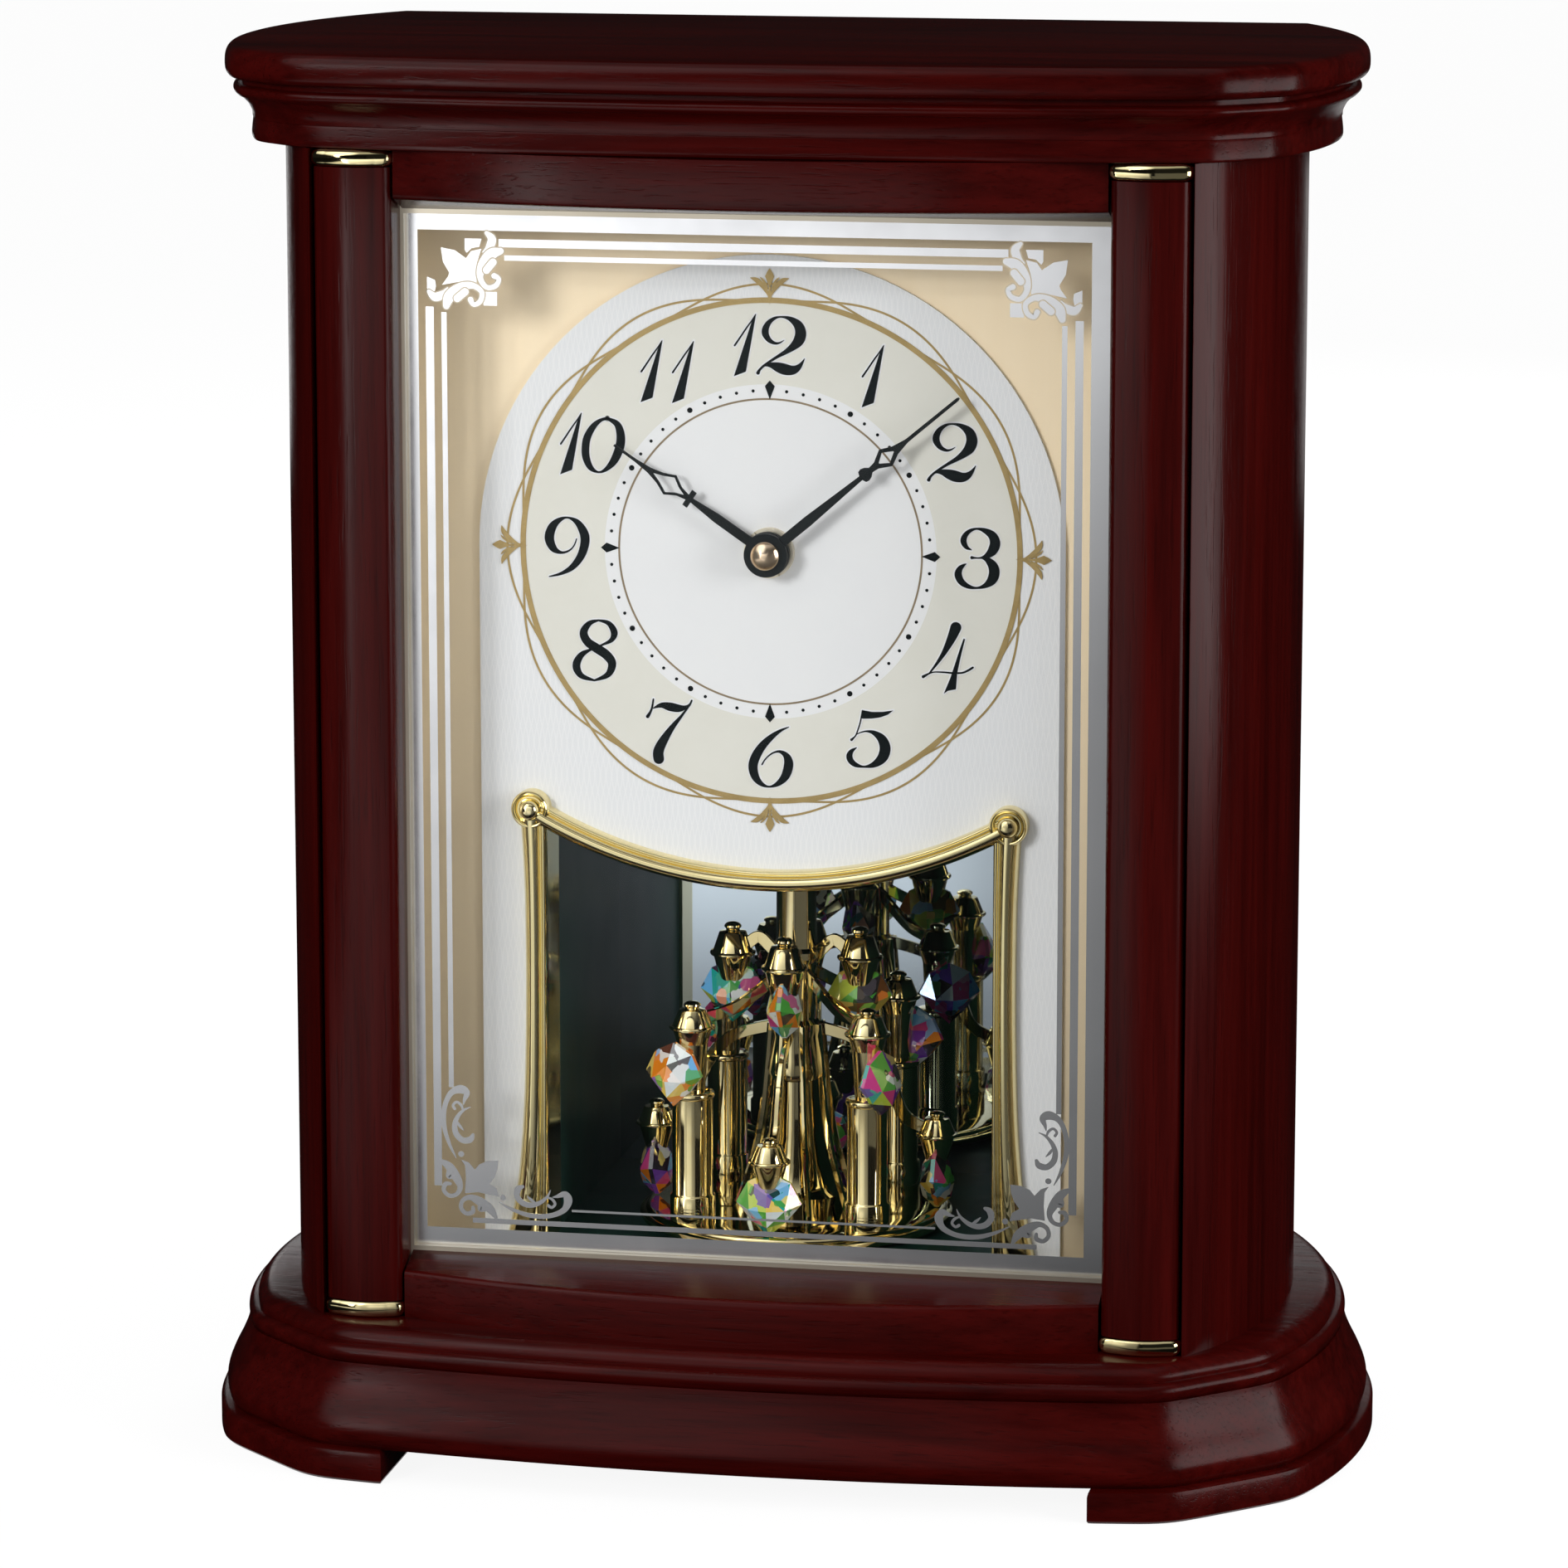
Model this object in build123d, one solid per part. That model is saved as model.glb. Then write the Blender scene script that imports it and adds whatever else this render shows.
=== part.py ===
from build123d import *
import math
import os

# Mantel clock: bowed wooden case, arched dial behind glass and a turning crystal ornament.
# Millimetres. Origin at the bottom centre, +Z up, front towards -Y.

# Heights of the stacked case pieces
foot_height = 6.8
base_height = 24.5
body_height = 248.0
cornice_height = 13.0
top_board_height = 6.7

# Case plan: bowed front, corner facets, bowed sides and a straight back
clock_depth = 142.0
body_half_width = 108.0
side_bow_radius = 112.0
side_bow_inset = 79.0
front_bow_radius = 552.0
corner_facet_cut = 21.3
corner_facet_angle = 46.9
foot_reach = 17.7
foot_board_width = 50.7
base_reach = 16.2
cornice_reach = 11.0
top_board_reach = 12.5
cornice_setback = 9.5

# Moulding profiles as shares of height and of reach beyond the body
base_ogee_shares = ((0.0, 0.92), (0.06, 0.985), (0.16, 1.0), (0.27, 0.94), (0.40, 0.84), (0.53, 0.755),
                    (0.64, 0.705), (0.70, 0.685))
base_lower_bead_shares = ((0.70, 0.655), (0.735, 0.69), (0.785, 0.70), (0.83, 0.665), (0.85, 0.60))
base_upper_bead_shares = ((0.85, 0.575), (0.90, 0.57), (0.95, 0.52), (0.985, 0.44), (1.0, 0.36))
cornice_fascia_shares = ((0.0, 0.56), (0.05, 0.62), (0.30, 0.645), (0.36, 0.63))
cornice_cove_shares = ((0.36, 0.625), (0.45, 0.64), (0.58, 0.72), (0.68, 0.83), (0.72, 0.89))
cornice_bead_shares = ((0.72, 0.91), (0.77, 0.97), (0.82, 0.985), (0.87, 0.96), (0.905, 0.88))
cornice_groove_shares = ((0.905, 0.82), (1.0, 0.82))
top_board_shares = ((0.0, 0.88), (0.08, 0.955), (0.25, 1.0), (0.60, 1.0), (0.82, 0.965), (0.95, 0.90),
                    (1.0, 0.82))

# Side panels, pillars, bands and rails
front_plane_inset = 31.0
side_thickness = 9.0
side_back_inset = 3.0
side_strip_reach = 8.8
side_strip_turn = 0.5
side_inner_start = 6.0
pillar_inset = 25.0
pillar_half_width = 8.2
pillar_depth = 10.5
pillar_bow = 2.4
pillar_corner_radius = 2.6
pillar_gap = 0.6
band_height = 3.7
band_proud = 0.5
band_round = 1.2
bottom_rail_height = 12.7
top_rail_height = 12.9
rail_depth = 19.3
rail_end_depth = 8.0
rail_land = 1.0
rail_slope_drop = 2.6

# Front frame and glass
glass_reveal = 1.0
glass_side_reveal = 0.75
glass_lap = 2.4
glass_thickness = 2.5
frame_lip = 2.0
frame_wall = 3.5

# Dial
dial_top_margin = 71.4
dial_depth = 15.0
dial_plate_thickness = 1.0
dial_board_thickness = 1.5
dial_side_margin = 13.95

# Window trim round the ornament chamber
window_side_margin = 14.5
rosette_outset = 3.3
rosette_drop = 56.2
rosette_radius = 4.1
rosette_height = 5.6
rosette_shares = ((0.0, 0.0), (1.0, 0.0), (1.0, 0.62), (0.92, 0.72), (0.74, 0.72), (0.68, 0.55), (0.52, 0.55),
                  (0.50, 0.75), (0.36, 0.92), (0.14, 1.0), (0.0, 1.0))
swag_sag = 13.8
swag_bar = 4.6
trim_bar = 4.7
trim_depth = 4.0
trim_flare = 4.3
trim_flare_bow_share = 0.30
trim_chamfer = 1.3
flange_thickness = 0.8
flange_depth = 10.0

# Ornament chamber
floor_rise = 11.7
floor_thickness = 2.0
chamber_wall = 2.0
mirror_gap = 8.0
ceiling_clearance = 5.2
mirror_thickness = 2.0

# Movement
movement_half_size = 28.0
movement_depth = 17.0
movement_wall = 1.5
bushing_radius = 4.0
bushing_reach = 2.0
nut_radius = 5.3
nut_height = 1.6
nut_slot = 1.0
bearing_plate_thickness = 1.0
bearing_plate_gap = 3.5
bearing_post_radius = 1.8
bearing_post_x = 23.5
bearing_post_low = 8.0
bearing_post_high = 24.0
bearing_plate_margin = 1.9
layer_pitch = 1.5
wheel_thickness = 1.2
pivot_radius = 0.6
pivot_length = 0.8
arbor_radius = 0.8
minute_arbor_radius = 1.6
hour_pipe_radius = 3.0
magnet_radius = 2.8
magnet_length = 3.0
cannon_pitch_radius = 3.0
centre_pitch_radius = 10.2
cannon_teeth = 12
minute_wheel_teeth = 36
minute_pinion_teeth = 10
hour_wheel_teeth = 40
centre_wheel_teeth = 60
third_pinion_teeth = 10
third_wheel_teeth = 50
rotor_pinion_teeth = 10
setting_pinion_teeth = 18
minute_wheel_angle = 180.0
third_wheel_angle = 50.0
rotor_angle = 10.0
setting_angle = 105.0
tooth_tip_share = 0.60
tooth_root_share = 1.0
tooth_shares = (0.60, 0.20)
setting_knob_radius = 6.0
setting_knob_height = 4.5
setting_shaft_radius = 1.5
knob_gap = 0.4
battery_radius = 7.1
battery_length = 50.0
battery_nub_radius = 2.6
battery_nub = 1.2
battery_floor_gap = 0.4
contact_thickness = 1.2
contact_half_height = 5.0
coil_radius = 2.6
coil_length = 16.0
coil_cheek = 1.2
coil_x = 12.0
coil_rise = 23.0
coil_depth = 3.2
board_thickness = 1.0
board_x = 7.0
board_rise = 17.5
board_width = 30.0
board_height = 13.0

# Hands: outlines as shares of the hand's length and of its widest half width
hour_hand_length = 39.5
hour_hand_half_width = 2.45
hour_hand_shares = ((0.05, 0.42), (0.33, 0.40), (0.485, 0.20), (0.492, 0.20), (0.492, 0.76), (0.522, 0.76),
                    (0.522, 0.24), (0.575, 0.42), (0.635, 1.0), (0.70, 0.52), (0.77, 0.24), (0.86, 0.12),
                    (1.0, 0.09))
hour_hole_shares = ((0.545, 0.03), (0.59, 0.30), (0.635, 0.78), (0.69, 0.34), (0.742, 0.03))
minute_hand_length = 53.1
minute_hand_half_width = 2.2
minute_hand_shares = ((0.05, 0.48), (0.22, 0.50), (0.495, 0.23), (0.502, 0.60), (0.515, 0.68), (0.530, 0.56),
                      (0.545, 0.27), (0.575, 0.36), (0.623, 1.0), (0.67, 0.46), (0.73, 0.19), (0.99, 0.165),
                      (1.0, 0.09))
minute_hole_shares = ((0.588, 0.04), (0.623, 0.62), (0.664, 0.04))
hour_hub_radius = 4.7
minute_hub_radius = 4.6
hand_thickness = 0.5
hub_thickness = 1.2
hand_gap = 0.5
cap_radius = 3.05
cap_height = 2.1
cap_shares = ((0.0, 0.0), (1.0, 0.0), (1.0, 0.22), (0.86, 0.50), (0.30, 0.96), (0.14, 1.0), (0.0, 1.0))
rest_minutes = 8.35
rest_hours = 10

# Ornament: radii are shares of its turntable's, heights are shares of its column's
turntable_window_share = 0.7084
turntable_front_reach = 6.5
turntable_back_gap = 11.0
turntable_height = 2.9
turntable_gap = 0.6
turntable_shares = ((0.0, 0.0), (0.97, 0.0), (1.0, 0.14), (1.0, 0.55), (0.965, 0.66), (0.965, 0.86), (0.94, 1.0),
                    (0.0, 1.0))
column_radius_share = 0.338
column_sides = 8
column_top_gap = 0.8
column_shares = ((0.0, 1.0), (0.03, 1.0), (0.05, 0.78), (0.13, 0.58), (0.25, 0.46), (0.40, 0.41), (0.415, 0.47),
                 (0.43, 0.40), (1.0, 0.37))
pendant_shares = ((0.0, 0.0), (0.45, 0.0), (0.60, 0.06), (0.80, 0.30), (0.92, 0.52), (1.0, 0.53), (1.0, 0.575),
                  (0.88, 0.59), (0.60, 0.86), (0.60, 0.88), (0.30, 0.89), (0.36, 0.93), (0.28, 0.98),
                  (0.12, 1.0), (0.0, 1.0))
tall_orbit_share = 0.412
tall_radius_share = 0.138
tall_rise_share = 0.4953
tall_height_share = 0.1505
middle_orbit_share = 0.794
middle_radius_share = 0.138
middle_rise_share = 0.3772
middle_height_share = 0.1254
low_orbit_share = 0.912
low_radius_share = 0.1265
low_rise_share = 0.1097
low_height_share = 0.1170
pipe_radius_share = 0.1294
pipe_height_share = 0.2978
pipe_chamfer = 0.8
crystal_width_share = 0.382
crystal_thickness_share = 0.2235
crystal_height_share = 0.1296
crystal_shares = ((0.0, 0.10), (0.26, 0.62), (0.52, 1.0), (0.78, 0.80), (1.0, 0.30))
crystal_outline_shares = ((1.0, 0.30), (0.62, 1.0), (-0.62, 1.0), (-1.0, 0.30), (-1.0, -0.30), (-0.62, -1.0),
                          (0.62, -1.0), (1.0, -0.30))
tall_crystal_share = 0.4263
middle_crystal_share = 0.2759
low_crystal_share = 0.0073
arm_width = 2.6
arm_thickness = 1.1
arm_start_share = 0.1147
tall_arm_ends_share = (0.5747, 0.5977)
tall_arm_shares = ((0.0, 0.0), (0.30, 1.1), (0.62, 1.9), (1.0, 1.0))
middle_arm_ends_share = (0.5434, 0.4660)
middle_arm_shares = ((0.0, 0.0), (0.30, 0.46), (0.62, 0.85), (1.0, 1.0))
low_arm_ends_share = (0.4180, 0.1902)
low_arm_shares = ((0.0, 0.0), (0.42, 0.14), (0.66, 0.45), (0.80, 0.85), (1.0, 1.0))
arm_bite_share = 0.62

# Ornament drive
shaft_radius = 2.5
bush_radius = 4.4
bush_flange_radius = 7.0
bush_flange = 0.3
block_floor = 2.0
gear_rise = 2.0
gear_thickness = 3.0
ornament_gear_pitch_radius = 12.0
ornament_gear_teeth = 48
drive_pinion_teeth = 12
gear_room = 0.8
motor_radius = 10.0
motor_length = 19.0
motor_shaft_radius = 1.0
motor_cover_radius = 14.0
motor_cover_thickness = 1.5
cover_screw_circle_radius = 12.0

# Back panel, cleats, door, switch and screws
back_panel_inset = 5.0
back_panel_thickness = 4.0
panel_side_gap = 0.3
cleat_width = 9.0
cleat_depth = 8.0
cleat_inset = 0.8
door_half_width = 40.0
door_half_height = 43.5
door_gap = 0.5
hinge_radius = 1.9
hinge_pin_radius = 1.0
hinge_offset = 1.0
hinge_drop = 29.0
knuckle_length = 8.0
outer_knuckle_length = 5.0
knuckle_gap = 0.3
strap_length = 9.0
strap_thickness = 1.2
strap_lift = 0.4
knob_x = 32.0
knob_radius = 5.0
knob_height = 4.4
knob_shares = ((0.0, 0.0), (0.62, 0.0), (0.55, 0.35), (0.90, 0.50), (1.0, 0.72), (0.85, 0.94), (0.0, 1.0))
catch_width = 10.0
catch_height = 14.0
catch_depth = 4.0
switch_rise = 28.7
switch_travel = 5.0
switch_stem_width = 6.0
switch_stem_height = 5.2
switch_stem_reach = 2.6
switch_flange = 2.5
switch_body_wall = 1.8
switch_body_depth = 5.0
switch_pocket = 2.0
screw_radius = 1.5
screw_head_radius = 3.0
screw_head_height = 1.2
screw_length = 9.0
cover_screw_length = 5.0
screw_edge = 16.0

# Clearances
running_gap = 0.3
shaft_clearance = 0.05
seat_clearance = 0.02
overrun = 1.0

# Places worked out from the sizes above
back_y = clock_depth / 2
base_front_y = -clock_depth / 2
base_z = foot_height
body_z = base_z + base_height
cornice_z = body_z + body_height
top_board_z = cornice_z + cornice_height
side_centre_x = body_half_width - side_bow_radius
side_bow_y = base_front_y + side_bow_inset
facet_cos = math.cos(math.radians(corner_facet_angle))
facet_sin = math.sin(math.radians(corner_facet_angle))
corner_facet_reach = facet_cos * body_half_width - facet_sin * (base_front_y + base_reach) - corner_facet_cut
foot_inner_x = body_half_width + foot_reach - foot_board_width
front_plane_y = base_front_y + front_plane_inset
pillar_x = body_half_width - pillar_inset
rail_half_length = pillar_x - pillar_half_width
glass_low_z = body_z + bottom_rail_height + glass_reveal
glass_high_z = cornice_z - top_rail_height - glass_reveal
glass_opening_half_width = rail_half_length - glass_side_reveal
glass_front_y = front_plane_y + frame_lip
pocket_half_width = glass_opening_half_width + glass_lap
pocket_low_z = glass_low_z - glass_lap
pocket_high_z = glass_high_z + glass_lap
frame_half_width = pocket_half_width + frame_wall
frame_low_z = pocket_low_z - frame_wall
frame_high_z = pocket_high_z + frame_wall
dial_y = glass_front_y + dial_depth
board_front_y = dial_y + dial_plate_thickness
board_back_y = board_front_y + dial_board_thickness
dial_z = glass_high_z - dial_top_margin
dial_arch_radius = pocket_half_width - dial_side_margin
window_half_width = dial_arch_radius - window_side_margin
rosette_x = window_half_width + rosette_outset
rosette_z = dial_z - rosette_drop
swag_z = rosette_z - swag_sag
floor_z = body_z + floor_rise
hole_half_width = window_half_width + flange_thickness + shaft_clearance
chamber_half_width = hole_half_width + chamber_wall
panel_back_y = back_y - back_panel_inset
panel_front_y = panel_back_y - back_panel_thickness
mirror_y = panel_front_y - mirror_gap - mirror_thickness
ceiling_z = rosette_z + ceiling_clearance
movement_back_y = board_back_y + movement_depth
works_y = board_back_y + movement_wall + running_gap
plate_back_y = movement_back_y - bearing_plate_gap
plate_front_y = plate_back_y - bearing_plate_thickness
motion_module = 2 * cannon_pitch_radius / cannon_teeth
train_module = 2 * centre_pitch_radius / centre_wheel_teeth
drive_module = 2 * ornament_gear_pitch_radius / ornament_gear_teeth
hour_module = motion_module * (cannon_teeth + minute_wheel_teeth) / (minute_pinion_teeth + hour_wheel_teeth)
turntable_z = floor_z + turntable_gap
ornament_z = turntable_z + turntable_height
chamber_reach = mirror_y - board_back_y + turntable_front_reach - turntable_back_gap
turntable_radius = min(turntable_window_share * window_half_width, chamber_reach / 2)
ornament_y = board_back_y - turntable_front_reach + turntable_radius
ornament_height = ceiling_z - column_top_gap - ornament_z
motor_y = ornament_y + drive_module * (ornament_gear_teeth + drive_pinion_teeth) / 2
hinge_x = -door_half_width - hinge_offset
hinge_y = panel_back_y + hinge_radius + shaft_clearance


def save(name, pieces):
    shape = pieces[0] if len(pieces) == 1 else Compound(children=list(pieces))
    export_step(shape, "parts/" + name + ".step")


def slab(x_low, x_high, y_low, y_high, z_low, z_high):
    size = (x_high - x_low, y_high - y_low, z_high - z_low)
    return Pos(x_low, y_low, z_low) * Box(*size, align=(Align.MIN, Align.MIN, Align.MIN))


def mirrored(piece):
    return mirror(piece, about=Plane.YZ)


def upright(radius, z_low, z_high, x=0, y=0):
    return Pos(x, y, z_low) * extrude(Circle(radius), amount=z_high - z_low)


def along_y(shape, y_low, y_high):
    """Extrude a shape drawn as seen from the front, between two depths."""
    return extrude(Plane.XZ.offset(-y_high) * shape, amount=y_high - y_low)


def pin(radius, y_low, y_high, x=0, z=0):
    return along_y(Pos(x, z) * Circle(radius), y_low, y_high)


def turned(shares, radius, height):
    """Turn a profile of radius and height shares about the Z axis."""
    points = [(share_r * radius, share_h * height) for share_r, share_h in shares]
    return revolve(Plane.XZ * make_face(Polyline(*points, close=True)), axis=Axis.Z)


def facing_front(piece, x, y, z):
    return Pos(x, y, z) * Rot(90, 0, 0) * piece


def facing_back(piece, x, y, z):
    return Pos(x, y, z) * Rot(-90, 0, 0) * piece


def bow_x(y, grow=0):
    """Half width of the bowed side at depth y."""
    reach = side_bow_radius + grow
    return side_centre_x + math.sqrt(reach ** 2 - (y - side_bow_y) ** 2)


def facet_meets(facet, centre, radius, side):
    """Where the corner facet's line crosses a circle, on its near (-1) or far (1) side."""
    start = Vector(facet_cos * facet, -facet_sin * facet)
    run = Vector(facet_sin, facet_cos)
    offset = start - centre
    half = offset.dot(run)
    root = math.sqrt(half ** 2 - offset.dot(offset) + radius ** 2)
    return start + run * (side * root - half)


def case_section(reach, apex_y, z):
    """Level section of the case's plan, grown by reach, with its front apex at apex_y."""
    bow = front_bow_radius + reach
    front = facet_meets(corner_facet_reach + reach, Vector(0, apex_y + bow), bow, -1)
    side = facet_meets(corner_facet_reach + reach, Vector(side_centre_x, side_bow_y), side_bow_radius + reach, 1)
    widest = body_half_width + reach
    back_x = bow_x(back_y, reach)
    edges = [
        ThreePointArc((-front.X, front.Y), (0, apex_y), (front.X, front.Y)),
        Line((front.X, front.Y), (side.X, side.Y)),
        ThreePointArc((side.X, side.Y), (widest, side_bow_y), (back_x, back_y)),
        Line((back_x, back_y), (-back_x, back_y)),
        ThreePointArc((-back_x, back_y), (-widest, side_bow_y), (-side.X, side.Y)),
        Line((-side.X, side.Y), (-front.X, front.Y)),
    ]
    return Pos(0, 0, z) * make_face(edges)


def moulding(stretches, z_low, height, reach, front_y):
    """Loft each smooth stretch of a profile round the case and join them."""
    body = None
    for shares in stretches:
        levels = []
        for height_share, reach_share in shares:
            out = reach * reach_share
            levels.append(case_section(out, front_y + reach - out, z_low + height * height_share))
        stretch = loft(levels)
        body = stretch if body is None else body + stretch
    return body


def gear(module, teeth, phase):
    """Flat toothed outline with a tooth at the angle phase."""
    pitch_radius = module * teeth / 2
    tip = pitch_radius + module * tooth_tip_share
    root = pitch_radius - module * tooth_root_share
    half_pitch = 180 / teeth
    points = []
    for tooth in range(teeth):
        middle = phase + 2 * half_pitch * tooth
        for radius, turn in ((root, -tooth_shares[0]), (tip, -tooth_shares[1]), (tip, tooth_shares[1]),
                             (root, tooth_shares[0])):
            angle = math.radians(middle + turn * half_pitch)
            points.append((radius * math.cos(angle), radius * math.sin(angle)))
    return make_face(Polyline(*points, close=True))


def mate_phase(phase, teeth, direction, mate_teeth):
    """Phase that sets a mating gear's gap over this gear's tooth."""
    lag = (direction - phase) % (360 / teeth)
    return direction + 180 + lag * teeth / mate_teeth + 180 / mate_teeth


def polar(x, y, distance, angle):
    return x + distance * math.cos(math.radians(angle)), y + distance * math.sin(math.radians(angle))


def layer(index):
    return works_y + layer_pitch * index


def arc_line(half_width, z_end, z_middle):
    return ThreePointArc((-half_width, z_end), (0, z_middle), (half_width, z_end))


def window_face(half_width, low_z, rise):
    """The window's outline: straight sides and a sagging top, raised from the swag's middle line."""
    top = make_face([
        arc_line(rosette_x, rosette_z + rise, swag_z + rise),
        Line((rosette_x, rosette_z + rise), (rosette_x, low_z)),
        Line((rosette_x, low_z), (-rosette_x, low_z)),
        Line((-rosette_x, low_z), (-rosette_x, rosette_z + rise)),
    ])
    tall = 2 * (rosette_z - low_z)
    return top & Pos(0, low_z) * Rectangle(2 * half_width, tall)


def hand(length, half_width, shares, hole_shares, angle):
    """A flat hand outline, pointing at the clock angle given in degrees."""
    right = [(w * half_width, u * length) for u, w in shares]
    left = [(-x, y) for x, y in reversed(right)]
    blade = make_face(Polyline(*right, *left, close=True))
    hole_right = [(w * half_width, u * length) for u, w in hole_shares]
    hole_left = [(-x, y) for x, y in reversed(hole_right)]
    hole = make_face(Polyline(*hole_right, *hole_left, close=True))
    return Pos(0, dial_z) * Rot(0, 0, -angle) * (blade - hole)


def round_ring(piece, orbit, first_angle):
    """Four copies round the ornament's axis, turned with it."""
    copies = []
    for quarter in range(4):
        angle = first_angle + 90 * quarter
        copies.append(Pos(0, ornament_y, ornament_z) * Rot(0, 0, angle) * Pos(orbit, 0, 0) * piece)
    return copies


def arm(shares, ends_share, end_r):
    """A flat curved ribbon in the radial plane, from the column out to a pendant."""
    start_r = arm_start_share * turntable_radius
    start_z, end_z = (share * ornament_height for share in ends_share)
    points = [(start_r + (end_r - start_r) * u, start_z + (end_z - start_z) * v) for u, v in shares]
    lower = [(r, z - arm_thickness) for r, z in points]
    face = make_face([
        Spline(*points),
        Line(points[-1], lower[-1]),
        Spline(*reversed(lower)),
        Line(lower[0], points[0]),
    ])
    return extrude(Plane.XZ * face, amount=arm_width / 2, both=True)


def crystal(width, thickness):
    """A faceted drop on the Z axis, standing on its point."""
    levels = []
    for height_share, size_share in crystal_shares:
        points = []
        for share_x, share_y in crystal_outline_shares:
            points.append((share_x * size_share * thickness / 2, share_y * size_share * width / 2))
        level_z = height_share * crystal_height_share * ornament_height
        levels.append(Pos(0, 0, level_z) * make_face(Polyline(*points, close=True)))
    return loft(levels, ruled=True)


def make_case():
    foot_section = case_section(foot_reach, base_front_y + base_reach - foot_reach, 0)
    foot_pair = extrude(foot_section, amount=foot_height)
    left_half = slab(-clock_depth, -foot_inner_x, -clock_depth, clock_depth, 0, foot_height)
    left_foot = foot_pair & left_half
    save("foot_boards", [left_foot, mirrored(left_foot)])

    base_stretches = (base_ogee_shares, base_lower_bead_shares, base_upper_bead_shares)
    base = moulding(base_stretches, base_z, base_height, base_reach, base_front_y)
    base -= upright(motor_radius + shaft_clearance, base_z - overrun, body_z + overrun, 0, motor_y)
    base -= upright(motor_cover_radius + shaft_clearance, base_z - overrun, base_z + motor_cover_thickness, 0,
                    motor_y)
    cover = upright(motor_cover_radius, base_z, base_z + motor_cover_thickness, 0, motor_y)
    for angle in (90, 210, 330):
        x, y = polar(0, motor_y, cover_screw_circle_radius, angle)
        top = base_z + cover_screw_length
        hole = upright(screw_radius + seat_clearance, base_z - overrun, top, x, y)
        base -= hole
        cover -= hole
        case_screws.append(upright(screw_radius, base_z, top, x, y))
    save("base_plinth", [base])
    save("motor_cover", [cover])

    cornice_front_y = base_front_y + cornice_setback
    cornice_edge_y = cornice_front_y + top_board_reach - cornice_reach
    cornice_stretches = (cornice_fascia_shares, cornice_cove_shares, cornice_bead_shares, cornice_groove_shares)
    save("cornice_moulding", [moulding(cornice_stretches, cornice_z, cornice_height, cornice_reach,
                                       cornice_edge_y)])
    save("top_board", [moulding((top_board_shares,), top_board_z, top_board_height, top_board_reach,
                                cornice_front_y)])

    side_back_y = back_y - side_back_inset
    strip_x = pillar_x + pillar_half_width + pillar_gap
    strip_y = front_plane_y - side_strip_turn
    inner_y = front_plane_y + side_inner_start
    side_face = make_face([
        Line((strip_x, front_plane_y - side_strip_reach), (bow_x(strip_y), strip_y)),
        ThreePointArc((bow_x(strip_y), strip_y), (body_half_width, side_bow_y), (bow_x(side_back_y), side_back_y)),
        Line((bow_x(side_back_y), side_back_y), (bow_x(side_back_y, -side_thickness), side_back_y)),
        ThreePointArc((bow_x(side_back_y, -side_thickness), side_back_y),
                      (body_half_width - side_thickness, side_bow_y),
                      (bow_x(inner_y, -side_thickness), inner_y)),
        Line((bow_x(inner_y, -side_thickness), inner_y), (strip_x, front_plane_y)),
        Line((strip_x, front_plane_y), (strip_x, front_plane_y - side_strip_reach)),
    ])
    right_side = Pos(0, 0, body_z) * extrude(side_face, amount=body_height)
    save("right_side_panel", [right_side])
    save("left_side_panel", [mirrored(right_side)])


def pillar_face(grow):
    half = pillar_half_width + grow
    front = front_plane_y - pillar_depth - grow
    shoulder = front + pillar_bow
    face = make_face([
        Line((-half, front_plane_y), (-half, shoulder)),
        ThreePointArc((-half, shoulder), (0, front), (half, shoulder)),
        Line((half, shoulder), (half, front_plane_y)),
        Line((half, front_plane_y), (-half, front_plane_y)),
    ])
    corners = face.vertices().sort_by(Axis.Y)[:2]
    return fillet(corners, pillar_corner_radius)


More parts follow.
